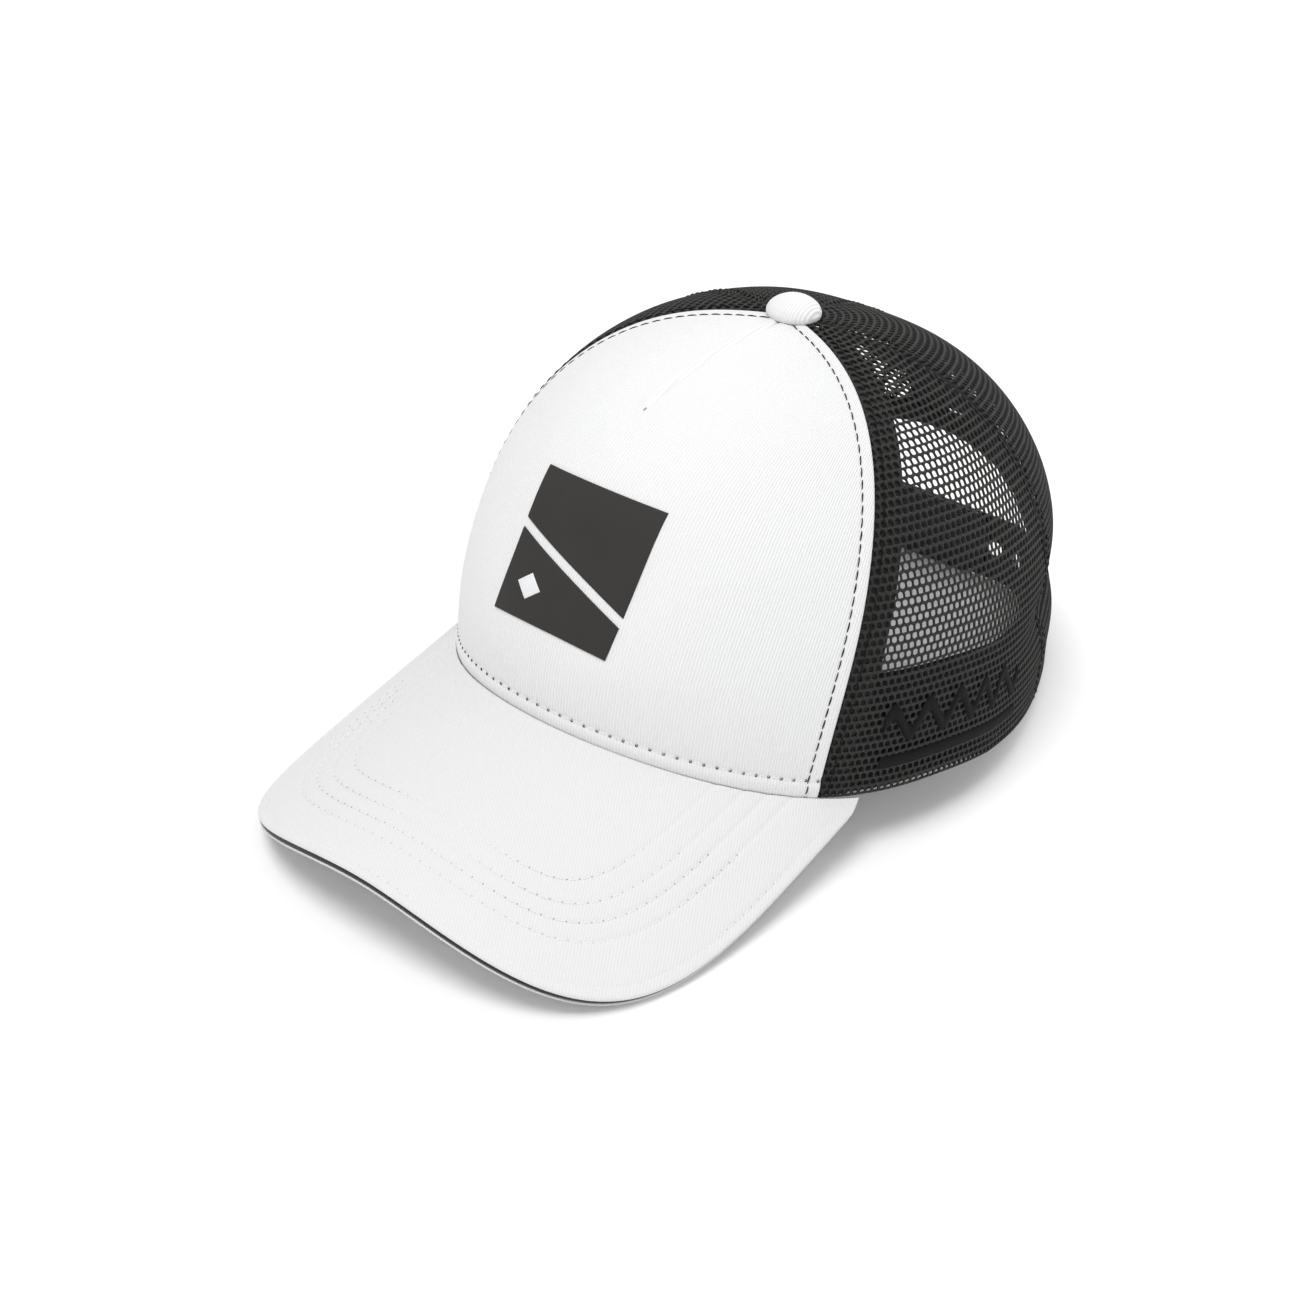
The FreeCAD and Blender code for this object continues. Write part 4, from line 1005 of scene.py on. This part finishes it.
def visor_line(inset, off, way_up):
    """Stitch line at a distance in from the edge, as far as the crown."""
    trim = 60 + int(inset * 9)
    keep = slice(trim, len(OUTLINE) - trim)
    xy = OUTLINE[keep] + INWARD[keep] * inset
    xy = xy[distance_to_edge(xy[:, 0], xy[:, 1]) > inset - 0.15]
    xy = xy[np.hypot(xy[:, 0] / HALF_WIDTH, np.minimum(xy[:, 1], 0) / FRONT) > 1.02]
    p, n = visor_point(xy[:, 0], xy[:, 1], np.full(len(xy), off))
    return p, n * way_up


for side, off, way_up in (("top", -0.22, 1), ("under", UNDER + 0.22, -1)):
    lines = [visor_line(k, off, way_up) for k in VISOR_ROWS]
    _, holes = stitches(f"visor_{side}_stitches", lines, WHITE_THREAD,
                        pitch=3.1, gap=0.6, radius=0.15, lift=0.03)
    if side == "top":
        # grey dots of painted shade at the stitch holes on the visor's top
        puncture_shade_dots("visor_top_puncture_shade", holes, GREY_THREAD_AND_PIT_SHADE, 0.21, 0.04)


# ---- patch in two halves
PATCH_HALF, PATCH_TALL, PATCH_FOOT, PATCH_HEAD = 18.65, 36.0, 0.1845, 0.4605


def patch(half_name, low, high, cols=150, rows=90):
    """Half of the patch between two edges, given as shares of its height."""
    v = np.linspace(0, 1, rows)[:, None]
    u = np.linspace(0, 1, cols)[None, :] + np.zeros((rows, 1))
    bottom, top = low(u), high(u)
    share = bottom + (top - bottom) * v
    r = PATCH_FOOT + (PATCH_HEAD - PATCH_FOOT) * share + 0.0076 * (1 - (2 * u - 1) ** 2)
    x = -PATCH_HALF + (PATCH_HALF + PATCH_HALF) * u - 1.9 * (1 - share) ** 3
    a = angle_of_x(x, r)
    height = (top - bottom) * PATCH_TALL
    to_edge = np.minimum(np.minimum(u, 1 - u) * (PATCH_HALF + PATCH_HALF), np.minimum(v, 1 - v) * height)
    l = np.interp(r, front_cut.rise, front_cut.line)
    ground = front_relief(x, l, front_cut.half_at(r))
    outer = skin(a, r, ground + 0.04 + 0.45 * (0.35 + 0.65 * rounded(to_edge, 0.35)))
    closed_sheet(f"patch_{half_name}_half", outer, skin(a, r, ground - 0.15), np.stack([x, l], -1) / 10,
                 PATCH, slot="patch_rubber", replaces=["patch_" + half_name])


def diagonal(offset):
    return lambda u: 0.60 + (0.26 - 0.60) * u + offset


patch("lower", lambda u: 0 * u, diagonal(-0.0325))
patch("upper", diagonal(0.0325), lambda u: 0 * u + 1)

# plain lozenge on the lower half
MOTIF_SIZE = 4.2
u, v = np.meshgrid(np.linspace(0, 1, 31), np.linspace(0, 1, 31))
x = -0.52 * PATCH_HALF + MOTIF_SIZE * (u - v)
r = PATCH_FOOT + 0.276 * (0.25 + MOTIF_SIZE * (u + v - 1) / 48)
a = angle_of_x(x, r)
l = np.interp(r, front_cut.rise, front_cut.line)
ground = front_relief(x, l, front_cut.half_at(r))
high = 0.20 * rounded(np.minimum(np.minimum(u, 1 - u), np.minimum(v, 1 - v)) * MOTIF_SIZE, 0.3)
closed_sheet("patch_motif_inlay", skin(a, r, ground + 0.50 + high), skin(a, r, ground + 0.40),
             np.stack([x, l], -1) / 10, MOTIF, slot="patch_motif", replaces=["patch_motif"])


# ---- raised thread work on the wearer's left
def satin(low, high, swing_size, spacing=0.36):
    """Close rows of thread laid across a band, which swings up and down or runs straight."""
    def swing(u):
        return swing_size * np.sin(2 * PI * 5 * u)

    u = np.linspace(0, 1, 800)
    run = measure(skin(np.radians(61 + 36 * u), (low + high) / 2 + swing(u), 0.0))
    at = np.interp(np.arange(0, run[-1], spacing), run, u)
    t = np.linspace(-0.12, 1.12, 9)
    r = low + (high - low) * t[None, :] + swing(at)[:, None]
    a = np.radians(61 + 36 * at)[:, None] + 0.0012 * (t[None, :] - 0.5)
    puff = 0.12 + 0.26 * np.sin(PI * np.clip((t + 0.12) / 1.24, 0, 1)) ** 0.6
    return list(zip(skin(a, r, puff[None, :]), crown_normal(a, r)))


for name, low, high, swing_size in (("stitched_wave", 0.118, 0.143, 0.022),
                                    ("stitched_bar", 0.050, 0.070, 0.0)):
    obj, _ = stitches(name, satin(low, high, swing_size), BLACK_THREAD, slot="black_thread",
                      pitch=100.0, gap=0.0, radius=0.21, lift=0.0, sides=6)
    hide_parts("side_" + name)


# ---- straps
def inside_rear(x, z, depth):
    a, r = on_back(np.array([float(x)]), np.array([float(z) + SHIFT[2]]))
    n = crown(a - 0.01, r) - crown(a + 0.01, r)
    n = np.array([n[0, 1], -n[0, 0]])
    n = unit(n)
    p = crown(a, r)[0]
    depth = depth + float(sag(a, p[2])[0])
    return np.array([p[0], p[1]]) - n * math.copysign(depth, n[1])


def strap_line(level, z):
    """Plan line of a strap at one height, from its free end at minus x to its sewn end at plus x."""
    start, sewn, end, depth = 26.9, 51.0, 62.0, 2.11
    here, ahead = inside_rear(sewn, z, depth), inside_rear(sewn + 0.5, z, depth)
    first, last = np.array([start, level + SHIFT[1]]), here
    length = np.linalg.norm(last - first)
    arrive = unit(ahead - here) * length
    w = np.linspace(0, 1, 50)[:, None]
    curve = cubic(w, first, np.array([length, 0]), last, arrive)
    sewn_part = np.array([inside_rear(x, z, depth) for x in np.linspace(sewn, end, 14)[1:]])
    straight = np.array([[-24.0, level + SHIFT[1]], [0.0, level + SHIFT[1]]])
    return np.concatenate([straight, curve, sewn_part])


STRAP_TIP, STRAP_TALL, STRAP_LOW, TIP_ROUND = -20.9, 22.6, 0.7, 6.0
STRAP_BEVEL, STRAP_HALF, SNAP_HOLE, STUD_SIDES = 0.32, 0.28, 2.9, 28
# a stud's radius and height, from the strap up to the middle of its head
STUD = [(0.0, 0.3), (1.95, 0.3), (1.85, 0.75), (1.85, 1.15), (2.25, 1.5), (2.3, 1.75), (2.05, 2.1),
        (1.3, 2.3), (0.7, 2.18), (0.0, 2.12)]


def strap(kind, level, holes_at, studs_at, side):
    """One piece of moulded plastic: a flat outline with holes, bent along its line."""
    name = kind + "_strap_moulding"
    levels = np.linspace(0.5, 23.5, 5)
    lines = []
    for z in levels:
        line = strap_line(level, z)
        run = measure(line)
        lines.append((run - np.interp(0, line[:2, 0], run[:2]), line))
    total = min(run[-1] for run, _ in lines)
    curve = bpy.data.curves.new(name + "_outline", "CURVE")
    curve.dimensions, curve.fill_mode = "2D", "BOTH"
    curve.bevel_depth, curve.bevel_resolution, curve.extrude = STRAP_BEVEL, 2, STRAP_HALF

    def ring(points):
        spline = curve.splines.new("POLY")
        spline.points.add(len(points) - 1)
        for k, (px, py) in enumerate(points):
            spline.points[k].co = (px, py, 0, 1)
        spline.use_cyclic_u = True

    def arc(cx, cy, radius, angles):
        return [(cx + radius * math.cos(k), cy + radius * math.sin(k)) for k in angles]

    left, right = STRAP_TIP + STRAP_BEVEL, total - STRAP_BEVEL
    bottom, top = STRAP_LOW + STRAP_BEVEL, STRAP_LOW + STRAP_TALL - STRAP_BEVEL
    around = [(right - 13.0, bottom), (right - 6.5, bottom + 1.5), (right, bottom + 5.2), (right, top)]
    for cy, start in ((top - TIP_ROUND, PI / 2), (bottom + TIP_ROUND, PI)):
        around += arc(left + TIP_ROUND, cy, TIP_ROUND, [start + k * PI / 24 for k in range(13)])
    ring(around)
    middle = STRAP_LOW + STRAP_TALL / 2
    for hx in holes_at:
        ring(arc(hx, middle, SNAP_HOLE, [-k * PI / 20 for k in range(40)]))
    flat = link(bpy.data.objects.new(name + "_flat", curve))
    mesh = bpy.data.meshes.new_from_object(flat.evaluated_get(bpy.context.evaluated_depsgraph_get()))
    bpy.data.objects.remove(flat)
    bm = bmesh.new()
    bm.from_mesh(mesh)
    bmesh.ops.remove_doubles(bm, verts=bm.verts, dist=1e-4)
    for cut_x in np.arange(STRAP_TIP + 1.0, total - 0.5, 1.25):
        bmesh.ops.bisect_plane(bm, geom=bm.verts[:] + bm.edges[:] + bm.faces[:],
                               plane_co=(cut_x, 0, 0), plane_no=(1, 0, 0), dist=1e-4)
    for sx in studs_at:
        rings = []
        for radius, height in STUD:
            turns = [k * PI / 14 for k in range(STUD_SIDES if radius else 1)]
            rings.append([bm.verts.new((px, py, 0.3 + height)) for px, py in arc(sx, middle, radius, turns)])
        for one, two in zip(rings, rings[1:]):
            for k in range(STUD_SIDES):
                quad = [one[k % len(one)], one[(k + 1) % len(one)],
                        two[(k + 1) % len(two)], two[k % len(two)]]
                quad = list(dict.fromkeys(quad))
                if len(quad) > 2:
                    bm.faces.new(quad)
    bmesh.ops.triangulate(bm, faces=[f for f in bm.faces if len(f.verts) > 4])
    bmesh.ops.recalc_face_normals(bm, faces=bm.faces)
    bm.to_mesh(mesh)
    bm.free()
    flat_points = np.zeros(len(mesh.vertices) * 3, np.float32)
    mesh.vertices.foreach_get("co", flat_points)
    u, z, depth = flat_points.reshape(-1, 3).T.astype(float)
    plan_at, normal_at = np.zeros((len(levels), len(u), 2)), np.zeros((len(levels), len(u), 2))
    for k, (run, line) in enumerate(lines):
        way_now = np.gradient(line, run, axis=0)
        plan_at[k], normal_at[k] = sample(line, run, u), sample(way_now, run, u)
    t = np.clip((z - levels[0]) / (levels[-1] - levels[0]), 0, 1) * (len(levels) - 1)
    i = np.minimum(t.astype(int), len(levels) - 2)
    f = (t - i)[:, None]
    pick = np.arange(len(u))
    p = plan_at[i, pick] * (1 - f) + plan_at[i + 1, pick] * f
    w = unit(normal_at[i, pick] * (1 - f) + normal_at[i + 1, pick] * f)
    p = p + np.stack([-w[:, 1], w[:, 0]], -1) * depth[:, None]
    co = np.stack([side * p[:, 0], p[:, 1], z + SHIFT[2]], -1)
    mesh.vertices.foreach_set("co", (co * 0.001).astype(np.float32).ravel())
    bm = bmesh.new()
    bm.from_mesh(mesh)
    bmesh.ops.recalc_face_normals(bm, faces=bm.faces)
    for e in bm.edges:
        e.smooth = len(e.link_faces) == 2 and e.calc_face_angle(0) < math.radians(28)
    for face in bm.faces:
        face.smooth = True
    bm.to_mesh(mesh)
    bm.free()
    mesh.materials.clear()
    mesh.materials.append(STRAP)
    obj = link(bpy.data.objects.new(name, mesh))
    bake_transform(obj)
    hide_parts(kind + "_strap_root", kind + "_strap_tongue")


OUTER_LEVEL = BACK - 0.9
INNER_LEVEL = OUTER_LEVEL - 1.6
SNAPS = [-14.25, -4.75, 4.75, 14.25, 23.75, 33.25]
strap("hole", OUTER_LEVEL, SNAPS, [], 1)
strap("stud", INNER_LEVEL, [], SNAPS, -1)


# ---- button
DOME_R, DOME_EDGE, DOME_RISE, SPOKES = 7.45, 2.2, 3.5, 96
centre = np.array([0, APEX_Y, APEX_Z + 0.25]) + SHIFT
ball = (DOME_R**2 + DOME_RISE**2) / (2 * DOME_RISE)
dome = []
for k in np.linspace(0.001, 1, 40):
    radius = DOME_R * k
    height = DOME_EDGE + DOME_RISE - ball + math.sqrt(ball**2 - radius**2)
    dome.append((radius, height - 0.55 * max(0, (radius / DOME_R - 0.86) / 0.14) ** 2))
rolled_edge = [(7.54, 1.3), (7.53, 0.7), (7.42, 0.1), (7.1, -0.12)]
hollow = [(6.9, 0.0), (6.75, 0.8)] + [(q * 0.91, h - 0.55) for q, h in dome[::-1]]
out, high = np.array(dome + rolled_edge + hollow, float).T
turn = np.arange(SPOKES) * 2 * PI / SPOKES
points = np.stack([out[:, None] * np.cos(turn), out[:, None] * np.sin(turn), columns(high, SPOKES)], -1)
points += centre
gather = np.clip((out / DOME_R - 0.9) / 0.1, 0, 1)[:, None]
points[..., 2] += 0.05 * gather * np.sin(turn * 24)[None, :]
make("button_cloth", points, [grid_faces(len(points), SPOKES, wrap=True, flip=True)], WHITE_RIB,
     (points[..., :2] - centre[:2]) / 10, slot="white_fabric", replaces=["button_cover"])

for name, material in (("visor_board", BOARD), ("button_shell", METAL), ("button_rivet", METAL),
                       ("button_washer", WASHER)):
    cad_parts[name].data.materials.clear()
    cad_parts[name].data.materials.append(material)


# ---- floor, light and camera
FLOOR_HALF, FLOOR_Z = 6, -0.0003
mesh = bpy.data.meshes.new("floor")
corners = [(-1, -1), (1, -1), (1, 1), (-1, 1)]
mesh.from_pydata([(FLOOR_HALF * x, FLOOR_HALF * y, FLOOR_Z) for x, y in corners], [], [(0, 1, 2, 3)])
mesh.materials.append(shader("floor_paint", (0.95, 0.95, 0.95), 0.9, Specular_IOR_Level=0.1))
link(bpy.data.objects.new("floor", mesh))

world = bpy.data.worlds.new("studio")
bpy.context.scene.world = world
world.use_nodes = True
sky = world.node_tree.nodes["Background"]
sky.inputs["Color"].default_value = (1.0, 1.0, 1.0, 1)
sky.inputs["Strength"].default_value = 0.673

# name, width in metres, watts, place, and the point it looks at
for name, size, power, at, target in (
    ("overhead", 0.8, 14.7, (0.0, -0.6, 1.6), (0, 0, 0.05)),
    ("backdrop", 1.6, 16.0, (-0.2, 2.6, 1.5), (-0.2, 2.4, 0)),
    ("rear_fill", 1.1, 2.4, (0.15, 0.75, 1.15), (0, 0, 0.05)),
    ("side_fill", 0.9, 1.7, (1.2, -0.35, 0.7), (0, 0, 0.05)),
):
    data = bpy.data.lights.new(name, "AREA")
    data.shape, data.size, data.energy = "DISK", size, power
    lamp = link(bpy.data.objects.new(name, data))
    lamp.location = at
    lamp.rotation_euler = (Vector(target) - Vector(at)).to_track_quat("-Z", "Y").to_euler()

# three quarters from the front on the wearer's left, from above; millimetres
az, el, tilt = (math.radians(k) for k in (35.519, 32.132, 4.28))
CAMERA_DISTANCE, TARGET_RIGHT, TARGET_UP = 503.7, -13.127, 29.262
right = Vector((math.cos(az), math.sin(az), 0))
back = Vector((math.sin(az) * math.cos(el), -math.cos(az) * math.cos(el), math.sin(el)))
up = back.cross(right)
target = Vector((0, -30, 60)) + right * TARGET_RIGHT + up * (TARGET_UP - 60) + Vector(SHIFT)
eye = (target + back * CAMERA_DISTANCE) * 0.001
cam_right = right * math.cos(tilt) + up * math.sin(tilt)
cam_up = -right * math.sin(tilt) + up * math.cos(tilt)
data = bpy.data.cameras.new("camera")
data.lens, data.sensor_width = 50.93, 36.0
data.clip_start, data.clip_end = 0.02, 20
camera = link(bpy.data.objects.new("camera", data))
axes = [[v[k] for v in (cam_right, cam_up, back, eye)] for k in range(3)]
camera.matrix_world = Matrix(axes + [[0, 0, 0, 1]])
bpy.context.scene.camera = camera
bpy.context.scene.view_settings.view_transform = "Standard"
